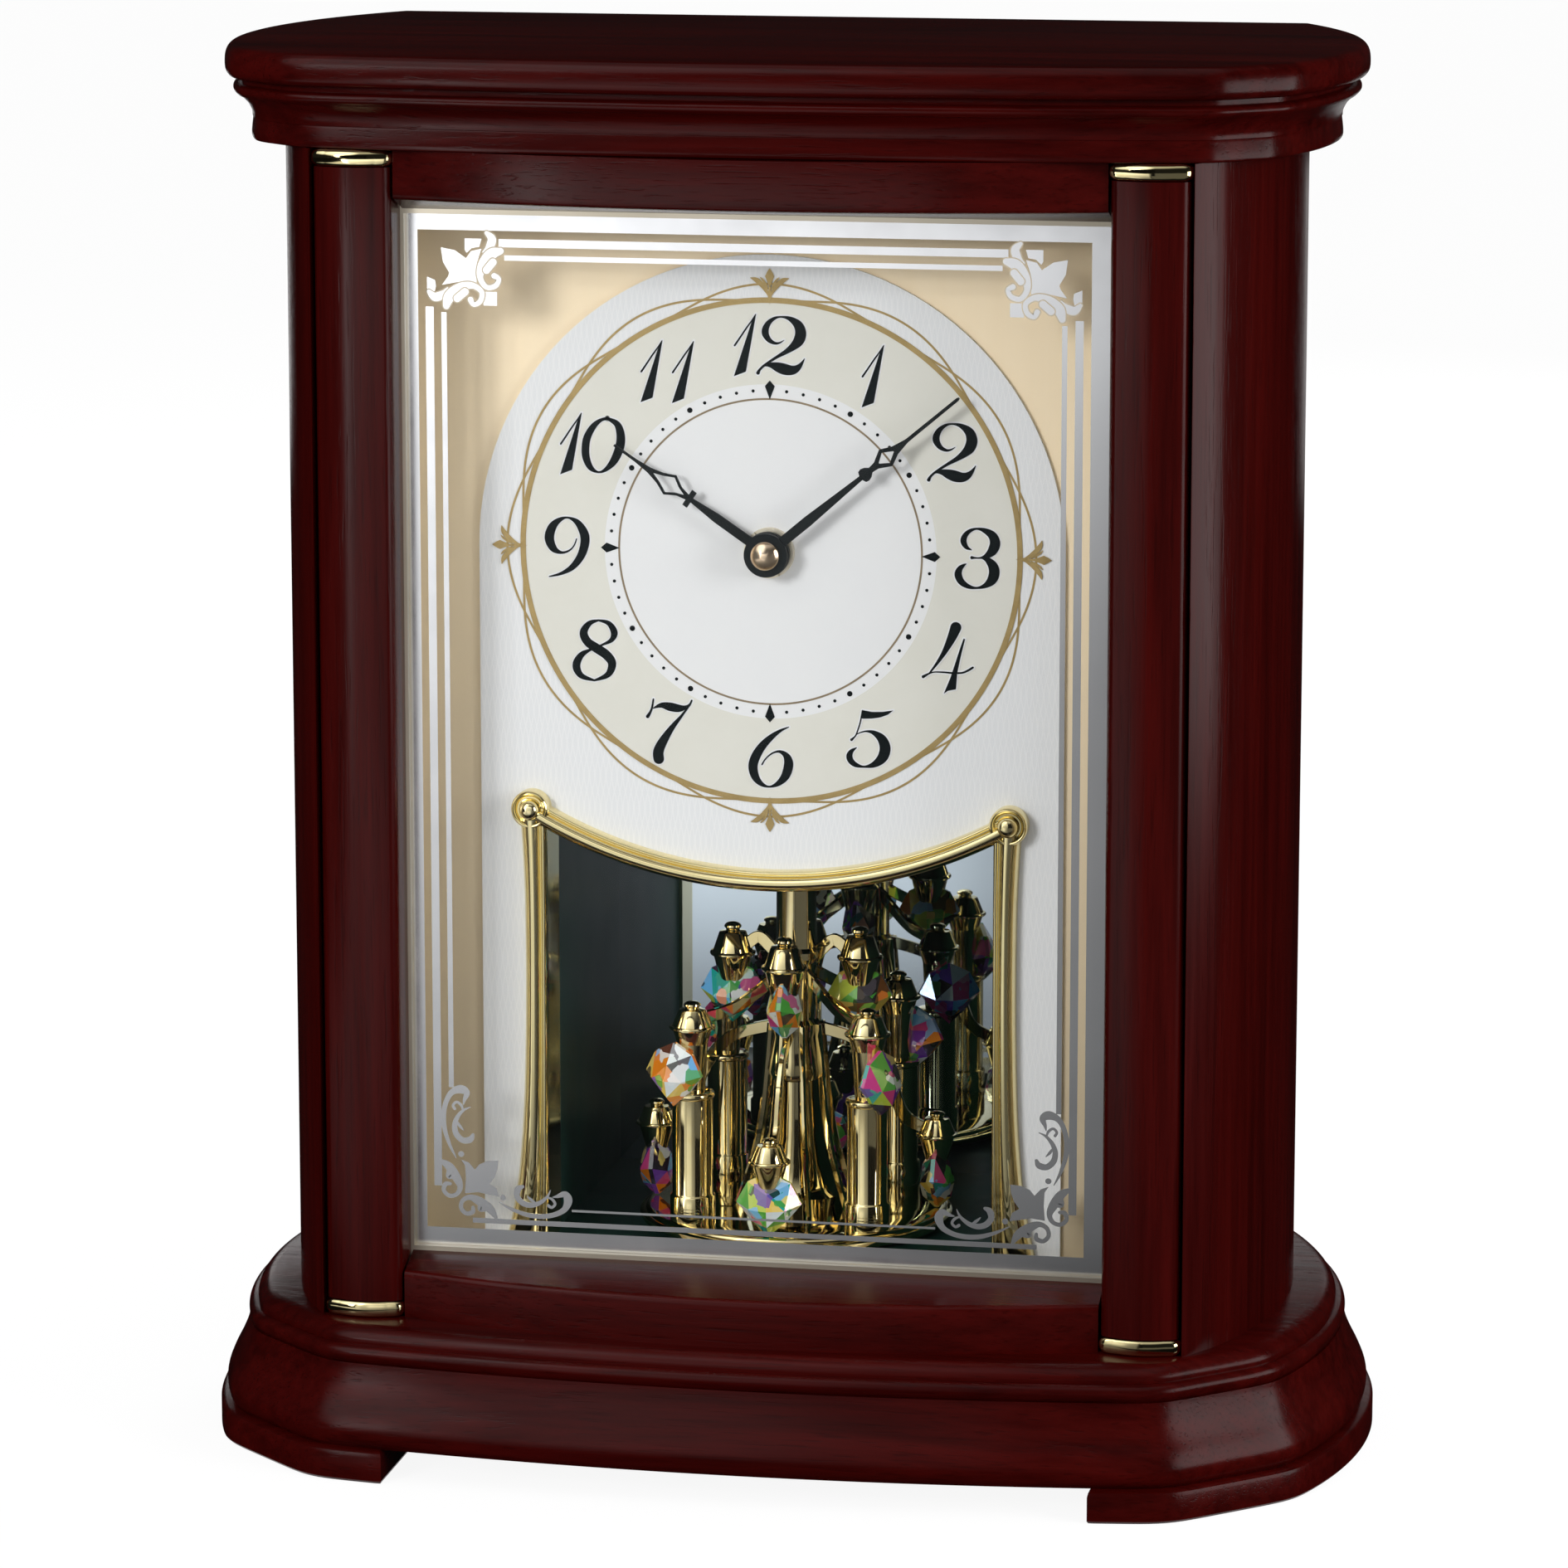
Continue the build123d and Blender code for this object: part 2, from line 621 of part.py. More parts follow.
def make_front():
    low_z = body_z + band_height
    high_z = cornice_z - band_height
    pillar = Pos(pillar_x, 0, low_z) * extrude(pillar_face(0), amount=high_z - low_z)
    save("right_pillar", [pillar])
    save("left_pillar", [mirrored(pillar)])

    band = extrude(pillar_face(band_proud), amount=band_height)
    back_edges = band.faces().sort_by(Axis.Y)[-1].edges()
    rims = [e for e in band.edges().filter_by(Axis.Z, reverse=True) if e not in back_edges]
    band = fillet(rims, band_round)
    bands = []
    for z in (body_z, high_z):
        bands.append(Pos(pillar_x, 0, z) * band)
        bands.append(Pos(-pillar_x, 0, z) * band)
    save("pillar_bands", bands)

    apex_y = front_plane_y - rail_depth
    end_y = front_plane_y - rail_end_depth
    half = rail_half_length - band_proud
    rail_face = make_face([
        ThreePointArc((-half, end_y), (0, apex_y), (half, end_y)),
        Line((half, end_y), (half, front_plane_y)),
        Line((half, front_plane_y), (-half, front_plane_y)),
        Line((-half, front_plane_y), (-half, end_y)),
    ])
    for name, z_low, height, edge_z, way in (
            ("bottom_rail", body_z, bottom_rail_height, body_z + bottom_rail_height, 1),
            ("top_rail", cornice_z - top_rail_height, top_rail_height, cornice_z - top_rail_height, -1)):
        rail = Pos(0, 0, z_low) * extrude(rail_face, amount=height)
        wedge = make_face(Polyline((front_plane_y - rail_land, edge_z), (apex_y, edge_z - way * rail_slope_drop),
                                   (apex_y - overrun, edge_z - way * rail_slope_drop),
                                   (apex_y - overrun, edge_z + way * overrun),
                                   (front_plane_y - rail_land, edge_z + way * overrun), close=True))
        rail -= extrude(Plane.YZ * wedge, amount=rail_half_length, both=True)
        save(name, [rail])

    frame = slab(-frame_half_width, frame_half_width, front_plane_y, board_front_y, frame_low_z, frame_high_z)
    frame -= slab(-glass_opening_half_width, glass_opening_half_width, front_plane_y - overrun, board_front_y,
                  glass_low_z, glass_high_z)
    frame -= slab(-pocket_half_width, pocket_half_width, glass_front_y, board_front_y + overrun,
                  pocket_low_z, pocket_high_z)
    save("front_frame", [frame])
    glass_half = pocket_half_width - shaft_clearance
    save("front_glass", [slab(-glass_half, glass_half, glass_front_y, glass_front_y + glass_thickness,
                              pocket_low_z + shaft_clearance, pocket_high_z - shaft_clearance)])


def make_dial():
    hole = window_face(hole_half_width, floor_z, 0)
    shaft_hole = Pos(0, dial_z) * Circle(bushing_radius + shaft_clearance)
    board_tall = frame_high_z - frame_low_z
    board = Pos(0, (frame_high_z + frame_low_z) / 2) * Rectangle(2 * frame_half_width, board_tall)
    save("dial_board", [along_y(board - hole - shaft_hole, board_front_y, board_back_y)])

    plate_low_z = pocket_low_z + shaft_clearance
    arch = Pos(0, dial_z) * Circle(dial_arch_radius)
    arch += Pos(0, (dial_z + plate_low_z) / 2) * Rectangle(2 * dial_arch_radius, dial_z - plate_low_z)
    save("dial_plate", [along_y(arch - hole - shaft_hole, dial_y, board_front_y)])

    half_bar = swag_bar / 2
    swag = make_face([
        arc_line(rosette_x, rosette_z + half_bar, swag_z + half_bar),
        Line((rosette_x, rosette_z + half_bar), (rosette_x, rosette_z - half_bar)),
        arc_line(rosette_x, rosette_z - half_bar, swag_z - half_bar),
        Line((-rosette_x, rosette_z - half_bar), (-rosette_x, rosette_z + half_bar)),
    ])
    outer_x = window_half_width + trim_bar
    flare_x = outer_x + trim_flare * trim_flare_bow_share
    middle_z = (rosette_z + glass_low_z) / 2
    bar = make_face([
        Line((window_half_width, glass_low_z), (window_half_width, rosette_z)),
        Line((window_half_width, rosette_z), (outer_x, rosette_z)),
        ThreePointArc((outer_x, rosette_z), (flare_x, middle_z), (outer_x + trim_flare, glass_low_z)),
        Line((outer_x + trim_flare, glass_low_z), (window_half_width, glass_low_z)),
    ])
    front_y = dial_y - trim_depth
    right_bar = along_y(bar, front_y, dial_y)
    right_bar = chamfer(right_bar.faces().sort_by(Axis.Y)[0].edges(), trim_chamfer)
    swag_piece = along_y(swag, front_y, dial_y)
    swag_piece = chamfer(swag_piece.faces().sort_by(Axis.Y)[0].edges(), trim_chamfer)
    trim = swag_piece + right_bar + mirrored(right_bar)
    for x in (-rosette_x, rosette_x):
        trim -= pin(rosette_radius + seat_clearance, front_y - overrun, dial_y, x, rosette_z)
    flange = window_face(window_half_width + flange_thickness, glass_low_z, flange_thickness - half_bar)
    flange -= window_face(window_half_width, glass_low_z, -half_bar)
    trim += along_y(flange, dial_y, dial_y + flange_depth)
    save("window_trim", [trim])

    rosette = turned(rosette_shares, rosette_radius, rosette_height)
    save("trim_rosettes", [facing_front(rosette, x, dial_y, rosette_z) for x in (-rosette_x, rosette_x)])


def make_chamber():
    half = chamber_half_width
    shaft_seat = upright(bush_radius + seat_clearance, floor_z - floor_thickness - overrun, floor_z + overrun, 0,
                         ornament_y)
    floor = slab(-half, half, board_back_y, mirror_y, floor_z - floor_thickness, floor_z) - shaft_seat
    save("chamber_floor", [floor])
    right_wall = slab(hole_half_width, half, board_back_y, mirror_y, floor_z, ceiling_z)
    save("chamber_walls", [right_wall, mirrored(right_wall)])
    save("chamber_ceiling", [slab(-half, half, board_back_y, mirror_y, ceiling_z, ceiling_z + chamber_wall)])
    save("back_mirror", [slab(-half, half, mirror_y, mirror_y + mirror_thickness, floor_z - floor_thickness,
                              ceiling_z + chamber_wall)])


def wheel(module, teeth, phase, index, x, z):
    return along_y(Pos(x, z) * gear(module, teeth, phase), layer(index), layer(index) + wheel_thickness)


def arbor(x, z, pivot_clear=0):
    """A wheel's shaft with a pivot at each end, or the pivots' seats when given a clearance."""
    front = works_y - running_gap
    seat = pivot_length + pivot_clear
    pivots = pin(pivot_radius + pivot_clear, front - seat, front, x, z)
    pivots += pin(pivot_radius + pivot_clear, plate_front_y, plate_front_y + seat, x, z)
    if pivot_clear:
        return pivots
    return pivots + pin(arbor_radius, works_y, plate_front_y - running_gap, x, z) + pin(
        pivot_radius, front, plate_front_y, x, z)


def make_movement():
    minute_x, minute_z = polar(0, dial_z, motion_module * (cannon_teeth + minute_wheel_teeth) / 2,
                               minute_wheel_angle)
    third_x, third_z = polar(0, dial_z, train_module * (centre_wheel_teeth + third_pinion_teeth) / 2,
                             third_wheel_angle)
    rotor_x, rotor_z = polar(third_x, third_z, train_module * (third_wheel_teeth + rotor_pinion_teeth) / 2,
                             rotor_angle)
    setting_x, setting_z = polar(minute_x, minute_z,
                                 motion_module * (minute_wheel_teeth + setting_pinion_teeth) / 2, setting_angle)

    half = movement_half_size
    inner = half - movement_wall
    inner_y = board_back_y + movement_wall
    case = slab(-half, half, board_back_y, movement_back_y, dial_z - half, dial_z + half)
    case -= slab(-inner, inner, inner_y, movement_back_y + overrun, dial_z - inner, dial_z + inner)
    case += pin(bushing_radius, dial_y - bushing_reach, inner_y, 0, dial_z)
    case -= pin(hour_pipe_radius + shaft_clearance, dial_y - bushing_reach - overrun, inner_y + overrun, 0, dial_z)
    plate_low_z = dial_z - bearing_post_low - bearing_plate_margin
    plate_high_z = dial_z + bearing_post_high + bearing_plate_margin
    plate_half = bearing_post_x + bearing_plate_margin
    plate = slab(-plate_half, plate_half, plate_front_y, plate_back_y, plate_low_z, plate_high_z)
    for x in (-bearing_post_x, bearing_post_x):
        for z in (dial_z - bearing_post_low, dial_z + bearing_post_high):
            case += pin(bearing_post_radius, inner_y, plate_front_y, x, z)
    for x, z in ((minute_x, minute_z), (third_x, third_z), (rotor_x, rotor_z), (setting_x, setting_z)):
        seats = arbor(x, z, shaft_clearance)
        case -= seats
        plate -= seats
    plate -= pin(arbor_radius + shaft_clearance, plate_front_y - overrun, plate_back_y + overrun, 0, dial_z)
    setting_hole = pin(setting_shaft_radius + shaft_clearance, plate_front_y - overrun, back_y, setting_x, setting_z)
    plate -= setting_hole
    save("movement_case", [case])
    save("bearing_plate", [plate])
    cover = slab(-half, half, movement_back_y, movement_back_y + movement_wall, dial_z - half, dial_z + half)
    save("movement_cover", [cover - setting_hole])

    nut = pin(nut_radius, dial_y - nut_height, dial_y, 0, dial_z)
    nut -= pin(bushing_radius + seat_clearance, dial_y - nut_height - overrun, dial_y + overrun, 0, dial_z)
    for angle in (30, 120):
        slot = Pos(0, dial_z) * Rot(0, 0, angle) * Rectangle(2 * nut_radius + overrun, nut_slot)
        nut -= along_y(slot, dial_y - nut_height - overrun, dial_y - nut_height / 2)
    save("bushing_nut", [nut])

    hour_front = dial_y - bushing_reach - running_gap
    hour_back = hour_front - hub_thickness
    minute_front = hour_back - hand_gap
    minute_tip = minute_front - hub_thickness

    cannon_phase = minute_wheel_angle
    minute_arbor = pin(minute_arbor_radius, minute_tip, layer(3), 0, dial_z)
    minute_arbor += pin(arbor_radius, layer(3), plate_back_y, 0, dial_z)
    minute_arbor += wheel(motion_module, cannon_teeth, cannon_phase, 1, 0, dial_z)
    minute_arbor += wheel(train_module, centre_wheel_teeth, third_wheel_angle, 2, 0, dial_z)
    save("minute_arbor", [minute_arbor])

    minute_phase = mate_phase(cannon_phase, cannon_teeth, minute_wheel_angle, minute_wheel_teeth)
    pinion_direction = minute_wheel_angle + 180
    minute_wheel = arbor(minute_x, minute_z)
    minute_wheel += wheel(motion_module, minute_wheel_teeth, minute_phase, 1, minute_x, minute_z)
    minute_wheel += wheel(hour_module, minute_pinion_teeth, pinion_direction, 0, minute_x, minute_z)
    save("minute_wheel", [minute_wheel])

    hour_phase = mate_phase(pinion_direction, minute_pinion_teeth, pinion_direction, hour_wheel_teeth)
    hour_wheel = wheel(hour_module, hour_wheel_teeth, hour_phase, 0, 0, dial_z)
    hour_wheel += pin(hour_pipe_radius, hour_back, layer(0), 0, dial_z)
    hour_wheel -= pin(minute_arbor_radius + shaft_clearance, hour_back - overrun, layer(1), 0, dial_z)
    save("hour_wheel", [hour_wheel])

    third_phase = mate_phase(third_wheel_angle, centre_wheel_teeth, third_wheel_angle, third_pinion_teeth)
    third = arbor(third_x, third_z)
    third += wheel(train_module, third_pinion_teeth, third_phase, 2, third_x, third_z)
    third += wheel(train_module, third_wheel_teeth, rotor_angle, 3, third_x, third_z)
    save("third_wheel", [third])

    rotor_phase = mate_phase(rotor_angle, third_wheel_teeth, rotor_angle, rotor_pinion_teeth)
    rotor = arbor(rotor_x, rotor_z)
    rotor += wheel(train_module, rotor_pinion_teeth, rotor_phase, 3, rotor_x, rotor_z)
    rotor += pin(magnet_radius, layer(4), layer(4) + magnet_length, rotor_x, rotor_z)
    save("motor_rotor", [rotor])

    setting_phase = mate_phase(minute_phase, minute_wheel_teeth, setting_angle, setting_pinion_teeth)
    knob_front = movement_back_y + movement_wall + knob_gap
    setting = wheel(motion_module, setting_pinion_teeth, setting_phase, 1, setting_x, setting_z)
    setting += pin(pivot_radius, works_y - running_gap - pivot_length, layer(1), setting_x, setting_z)
    setting += pin(setting_shaft_radius, layer(1), knob_front, setting_x, setting_z)
    setting += pin(setting_knob_radius, knob_front, knob_front + setting_knob_height, setting_x, setting_z)
    save("setting_knob", [setting])

    battery_z = dial_z - inner + battery_floor_gap + battery_radius
    battery_y = (inner_y + movement_back_y) / 2
    cell = Pos(-battery_length / 2, battery_y, battery_z) * Rot(0, 90, 0) * upright(
        battery_radius, 0, battery_length - battery_nub)
    cell += Pos(-battery_length / 2, battery_y, battery_z) * Rot(0, 90, 0) * upright(
        battery_nub_radius, 0, battery_length)
    save("battery", [cell])
    contact = slab(battery_length / 2 + shaft_clearance, battery_length / 2 + shaft_clearance + contact_thickness,
                   battery_y - contact_half_height, battery_y + contact_half_height,
                   battery_z - contact_half_height, battery_z + contact_half_height)
    save("battery_contacts", [contact, mirrored(contact)])

    coil_y = plate_front_y - coil_depth
    coil_z = dial_z + coil_rise
    coil = Pos(coil_x - coil_length / 2, coil_y, coil_z) * Rot(0, 90, 0) * upright(coil_radius, 0, coil_length)
    for x in (coil_x - coil_length / 2, coil_x + coil_length / 2 - coil_cheek):
        coil += slab(x, x + coil_cheek, coil_y - coil_radius, plate_front_y, coil_z - coil_radius,
                     coil_z + coil_radius)
    save("motor_coil", [coil])
    board_z = dial_z + board_rise
    save("circuit_board", [slab(board_x - board_width / 2, board_x + board_width / 2, plate_back_y,
                                plate_back_y + board_thickness, board_z - board_height / 2,
                                board_z + board_height / 2)])

    minute_angle = rest_minutes * 360 / 60
    hour_angle = rest_hours * 360 / 12 + minute_angle / 12
    for name, length, half_width, shares, hole, angle, hub, bore, back_y_place in (
            ("hour_hand", hour_hand_length, hour_hand_half_width, hour_hand_shares, hour_hole_shares, hour_angle,
             hour_hub_radius, hour_pipe_radius, hour_front),
            ("minute_hand", minute_hand_length, minute_hand_half_width, minute_hand_shares, minute_hole_shares,
             minute_angle, minute_hub_radius, minute_arbor_radius, minute_front)):
        middle_y = back_y_place - hub_thickness / 2
        blade = along_y(hand(length, half_width, shares, hole, angle), middle_y - hand_thickness / 2,
                        middle_y + hand_thickness / 2)
        blade += pin(hub, back_y_place - hub_thickness, back_y_place, 0, dial_z)
        blade -= pin(bore + seat_clearance, back_y_place - hub_thickness - overrun, back_y_place + overrun, 0,
                     dial_z)
        save(name, [blade])
    save("hand_cap", [facing_front(turned(cap_shares, cap_radius, cap_height), 0, minute_tip, dial_z)])


def make_ornament():
    table = Pos(0, ornament_y, turntable_z) * turned(turntable_shares, turntable_radius, turntable_height)
    table -= upright(shaft_radius + seat_clearance, turntable_z - overrun, ornament_z + overrun, 0, ornament_y)
    save("turntable", [table])

    levels = []
    for height_share, radius_share in column_shares:
        octagon = RegularPolygon(column_radius_share * turntable_radius * radius_share, column_sides)
        levels.append(Pos(0, ornament_y, ornament_z + height_share * ornament_height) * octagon)
    column = loft(levels, ruled=True)
    save("ornament_column", [column])

    pipe_radius = pipe_radius_share * turntable_radius
    pipe_height = pipe_height_share * ornament_height
    pipe = upright(pipe_radius, 0, pipe_height)
    pipe = chamfer(pipe.edges().group_by(Axis.Z)[-1], pipe_chamfer)
    save("ornament_pipes", round_ring(pipe, middle_orbit_share * turntable_radius, 45))

    wide = crystal_width_share * turntable_radius
    thin = crystal_thickness_share * turntable_radius
    pipe_seat = upright(pipe_radius + shaft_clearance, 0, pipe_height + shaft_clearance)
    groups = (
        (tall_orbit_share, 0, tall_rise_share, tall_radius_share, tall_height_share, tall_crystal_share,
         wide, thin, tall_arm_shares, tall_arm_ends_share),
        (middle_orbit_share, 45, middle_rise_share, middle_radius_share, middle_height_share, middle_crystal_share,
         thin, wide, middle_arm_shares, middle_arm_ends_share),
        (low_orbit_share, 0, low_rise_share, low_radius_share, low_height_share, low_crystal_share,
         thin, wide, low_arm_shares, low_arm_ends_share),
    )
    arms = []
    pendants = []
    crystals = []
    for orbit_share, turn, rise, radius_share, tall, gem_rise, depth, width, shares, ends in groups:
        orbit = orbit_share * turntable_radius
        radius = radius_share * turntable_radius
        height = tall * ornament_height
        lift = Pos(0, 0, rise * ornament_height)
        pendant = lift * turned(pendant_shares, radius, height)
        pendants += round_ring(pendant, orbit, turn)
        gem = Pos(0, 0, gem_rise * ornament_height) * crystal(width, depth)
        gem -= lift * turned(pendant_shares, radius + shaft_clearance, height)
        if orbit_share == middle_orbit_share:
            gem -= pipe_seat
        crystals += round_ring(gem, orbit, turn)
        ribbon = arm(shares, ends, orbit - radius * arm_bite_share) - Pos(orbit, 0, 0) * pendant
        arms += [piece - column for piece in round_ring(ribbon, 0, turn)]
    save("ornament_arms", arms)
    save("ornament_pendants", pendants)
    save("ornament_crystals", crystals)


def make_drive():
    block_z = body_z
    block_top = floor_z - floor_thickness
    gear_z = block_z + block_floor + gear_rise
    gear_pocket = drive_module * ornament_gear_teeth / 2 + gear_room
    pinion_pocket = drive_module * drive_pinion_teeth / 2 + gear_room
    block = slab(-chamber_half_width, chamber_half_width, board_back_y, mirror_y, block_z, block_top)
    block -= upright(gear_pocket, block_z + block_floor, block_top + overrun, 0, ornament_y)
    block -= upright(pinion_pocket, block_z + block_floor, block_top + overrun, 0, motor_y)
    block -= upright(shaft_radius + shaft_clearance, block_z - overrun, block_top, 0, ornament_y)
    block -= upright(motor_shaft_radius + running_gap, block_z - overrun, block_top, 0, motor_y)
    save("drive_block", [block])

    bush = upright(bush_radius, floor_z - floor_thickness, floor_z, 0, ornament_y)
    bush += upright(bush_flange_radius, floor_z, floor_z + bush_flange, 0, ornament_y)
    bush -= upright(shaft_radius + shaft_clearance, block_z, ornament_z, 0, ornament_y)
    save("floor_bush", [bush])
    save("ornament_shaft", [upright(shaft_radius, block_z + running_gap, ornament_z, 0, ornament_y)])

    def level_gear(teeth, phase, y):
        return Pos(0, y, gear_z) * extrude(gear(drive_module, teeth, phase), amount=gear_thickness)

    big = level_gear(ornament_gear_teeth, 90, ornament_y)
    big -= upright(shaft_radius + seat_clearance, block_z, ornament_z, 0, ornament_y)
    save("ornament_gear", [big])
    small = level_gear(drive_pinion_teeth, mate_phase(90, ornament_gear_teeth, 90, drive_pinion_teeth), motor_y)
    small += upright(motor_shaft_radius, block_z - motor_length / 2, gear_z, 0, motor_y)
    save("drive_pinion", [small])
    motor = upright(motor_radius, block_z - motor_length, block_z, 0, motor_y)
    motor -= upright(motor_shaft_radius + shaft_clearance, block_z - motor_length / 2 - running_gap,
                     block_z + overrun, 0, motor_y)
    save("drive_motor", [motor])


def make_back():
    panel_half = bow_x(panel_back_y, -side_thickness) - panel_side_gap
    panel = slab(-panel_half, panel_half, panel_front_y, panel_back_y, body_z, cornice_z)
    open_half = door_half_width + door_gap
    open_tall = door_half_height + door_gap
    panel -= slab(-open_half, open_half, panel_front_y - overrun, panel_back_y + overrun, dial_z - open_tall,
                  dial_z + open_tall)
    door = slab(-door_half_width, door_half_width, panel_front_y, panel_back_y, dial_z - door_half_height,
                dial_z + door_half_height)
    pins = []
    for z in (dial_z - hinge_drop, dial_z + hinge_drop):
        low = z - knuckle_length / 2
        high = z + knuckle_length / 2
        strap_y = panel_back_y + strap_lift
        strap = slab(hinge_x, hinge_x + hinge_offset + strap_length, strap_y, strap_y + strap_thickness, low, high)
        strap += slab(hinge_x + 2 * hinge_radius, hinge_x + hinge_offset + strap_length, panel_back_y, strap_y, low,
                      high)
        door += strap + upright(hinge_radius, low, high, hinge_x, hinge_y)
        bore = upright(hinge_pin_radius + shaft_clearance, low - overrun, high + overrun, hinge_x, hinge_y)
        door -= bore
        pin_low = low - knuckle_gap - outer_knuckle_length
        pin_high = high + knuckle_gap + outer_knuckle_length
        for z_low, z_high in ((pin_low, low - knuckle_gap), (high + knuckle_gap, pin_high)):
            leaf = slab(hinge_x - strap_length, hinge_x, panel_back_y, panel_back_y + strap_thickness, z_low, z_high)
            leaf += upright(hinge_radius, z_low, z_high, hinge_x, hinge_y)
            leaf -= upright(hinge_pin_radius + seat_clearance, z_low - overrun, z_high + overrun, hinge_x, hinge_y)
            panel += leaf
        pins.append(upright(hinge_pin_radius, pin_low, pin_high, hinge_x, hinge_y))
    save("hinge_pins", pins)
    save("back_door", [door])
    save("door_knob", [facing_back(turned(knob_shares, knob_radius, knob_height), knob_x, panel_back_y, dial_z)])
    catch = slab(open_half - catch_width / 2, open_half + catch_width / 2, panel_front_y - catch_depth,
                 panel_front_y, dial_z - catch_height / 2, dial_z + catch_height / 2)
    catch -= slab(0, open_half, panel_front_y - running_gap, back_y, 0, cornice_z)
    panel += catch

    cleat_x = panel_half - cleat_inset - cleat_width
    cleat = slab(cleat_x, cleat_x + cleat_width, panel_front_y - cleat_depth, panel_front_y, body_z, cornice_z)
    screw_x = cleat_x + cleat_width / 2
    cleats = [cleat, mirrored(cleat)]
    for x in (-screw_x, screw_x):
        for z in (body_z + screw_edge, (body_z + cornice_z) / 2, cornice_z - screw_edge):
            tip_y = panel_back_y - screw_length
            hole = pin(screw_radius + seat_clearance, tip_y, panel_back_y + overrun, x, z)
            panel -= hole
            cleats = [piece - hole for piece in cleats]
            screw = pin(screw_radius, tip_y, panel_back_y, x, z)
            screw += pin(screw_head_radius, panel_back_y, panel_back_y + screw_head_height, x, z)
            screw -= along_y(Pos(x, z) * Rectangle(2 * screw_head_radius + overrun, screw_radius / 2),
                             panel_back_y + screw_head_height / 2, panel_back_y + overrun + screw_head_height)
            case_screws.append(screw)
    save("back_cleats", cleats)
    save("case_screws", case_screws)

    switch_z = body_z + switch_rise
    slot_half = (switch_stem_width + switch_travel) / 2 + door_gap
    slot_tall = switch_stem_height / 2 + running_gap
    panel -= slab(-slot_half, slot_half, panel_front_y - overrun, panel_back_y + overrun, switch_z - slot_tall,
                  switch_z + slot_tall)
    save("back_panel", [panel])
    pocket_half = slot_half + switch_flange
    pocket_tall = slot_tall + switch_flange
    pocket_y = panel_front_y - switch_pocket
    body = slab(-pocket_half - switch_body_wall, pocket_half + switch_body_wall, panel_front_y - switch_body_depth,
                panel_front_y, switch_z - pocket_tall - switch_body_wall, switch_z + pocket_tall + switch_body_wall)
    body -= slab(-pocket_half, pocket_half, pocket_y, panel_front_y + overrun, switch_z - pocket_tall,
                 switch_z + pocket_tall)
    save("switch_body", [body])
    stem_x = -switch_travel / 2
    flange_half = switch_stem_width / 2 + switch_flange
    flange_tall = switch_stem_height / 2 + switch_flange - running_gap
    slider = slab(stem_x - switch_stem_width / 2, stem_x + switch_stem_width / 2, panel_front_y - running_gap,
                  panel_back_y + switch_stem_reach, switch_z - switch_stem_height / 2,
                  switch_z + switch_stem_height / 2)
    slider += slab(stem_x - flange_half, stem_x + flange_half, pocket_y + running_gap, panel_front_y - running_gap,
                   switch_z - flange_tall, switch_z + flange_tall)
    save("ornament_switch", [slider])


os.makedirs("parts", exist_ok=True)
case_screws = []
make_case()
make_front()
make_dial()
make_chamber()
make_movement()
make_ornament()
make_drive()
make_back()
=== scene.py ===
# %% [markdown]
# # A mantel clock with a turning crystal ornament
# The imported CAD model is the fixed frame: every body, joint and size comes from it. This lesson dresses that
# frame for a studio picture. Each step says what the real piece is, how it could be made in Blender, and why
# this way was chosen. The clock's lengths are in millimetres, turned into metres where a mesh is made; the
# materials and the studio are in metres.

# %% Load the frame
import math

import bmesh
import bpy
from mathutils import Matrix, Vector


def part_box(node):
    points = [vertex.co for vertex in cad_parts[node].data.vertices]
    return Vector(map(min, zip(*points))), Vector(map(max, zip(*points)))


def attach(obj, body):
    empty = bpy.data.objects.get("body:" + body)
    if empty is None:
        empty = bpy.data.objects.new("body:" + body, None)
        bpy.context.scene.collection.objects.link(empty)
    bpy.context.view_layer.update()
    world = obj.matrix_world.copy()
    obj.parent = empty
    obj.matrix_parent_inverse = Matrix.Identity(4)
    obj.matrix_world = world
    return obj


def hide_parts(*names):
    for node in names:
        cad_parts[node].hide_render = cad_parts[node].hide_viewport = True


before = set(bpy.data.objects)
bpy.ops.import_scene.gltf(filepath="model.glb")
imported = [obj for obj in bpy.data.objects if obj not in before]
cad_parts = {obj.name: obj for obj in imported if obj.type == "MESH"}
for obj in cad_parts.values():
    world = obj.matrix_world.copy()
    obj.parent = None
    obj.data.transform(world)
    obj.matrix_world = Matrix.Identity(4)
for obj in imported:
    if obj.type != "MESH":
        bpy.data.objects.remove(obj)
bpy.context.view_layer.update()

MM = 0.001
scene = bpy.context.scene
scene.view_settings.view_transform = "Standard"

# %% [markdown]
# ## The camera
# The picture was taken from a little to the right and a little above, with a long lens. A long lens can be
# set by hand until it looks right, or worked out from points whose place is known. Here the place was worked
# out from the corners of the case, so the camera is a position, a heading and a tilt, with no lens shift.

# %% Camera
CAMERA_PLACE = (262.1, -1377.1, 405.5)
CAMERA_HEADING = 0.1891
CAMERA_TILT = -0.187
CAMERA_LENS = 152.82

camera_data = bpy.data.cameras.new("studio_camera")
camera_data.lens = CAMERA_LENS
camera_data.sensor_width = 36
camera = bpy.data.objects.new("studio_camera", camera_data)
camera.location = [length * MM for length in CAMERA_PLACE]
camera.rotation_euler = (math.pi / 2 + CAMERA_TILT, 0, CAMERA_HEADING)
scene.collection.objects.link(camera)
scene.camera = camera
print("camera at", tuple(round(v, 3) for v in camera.location))

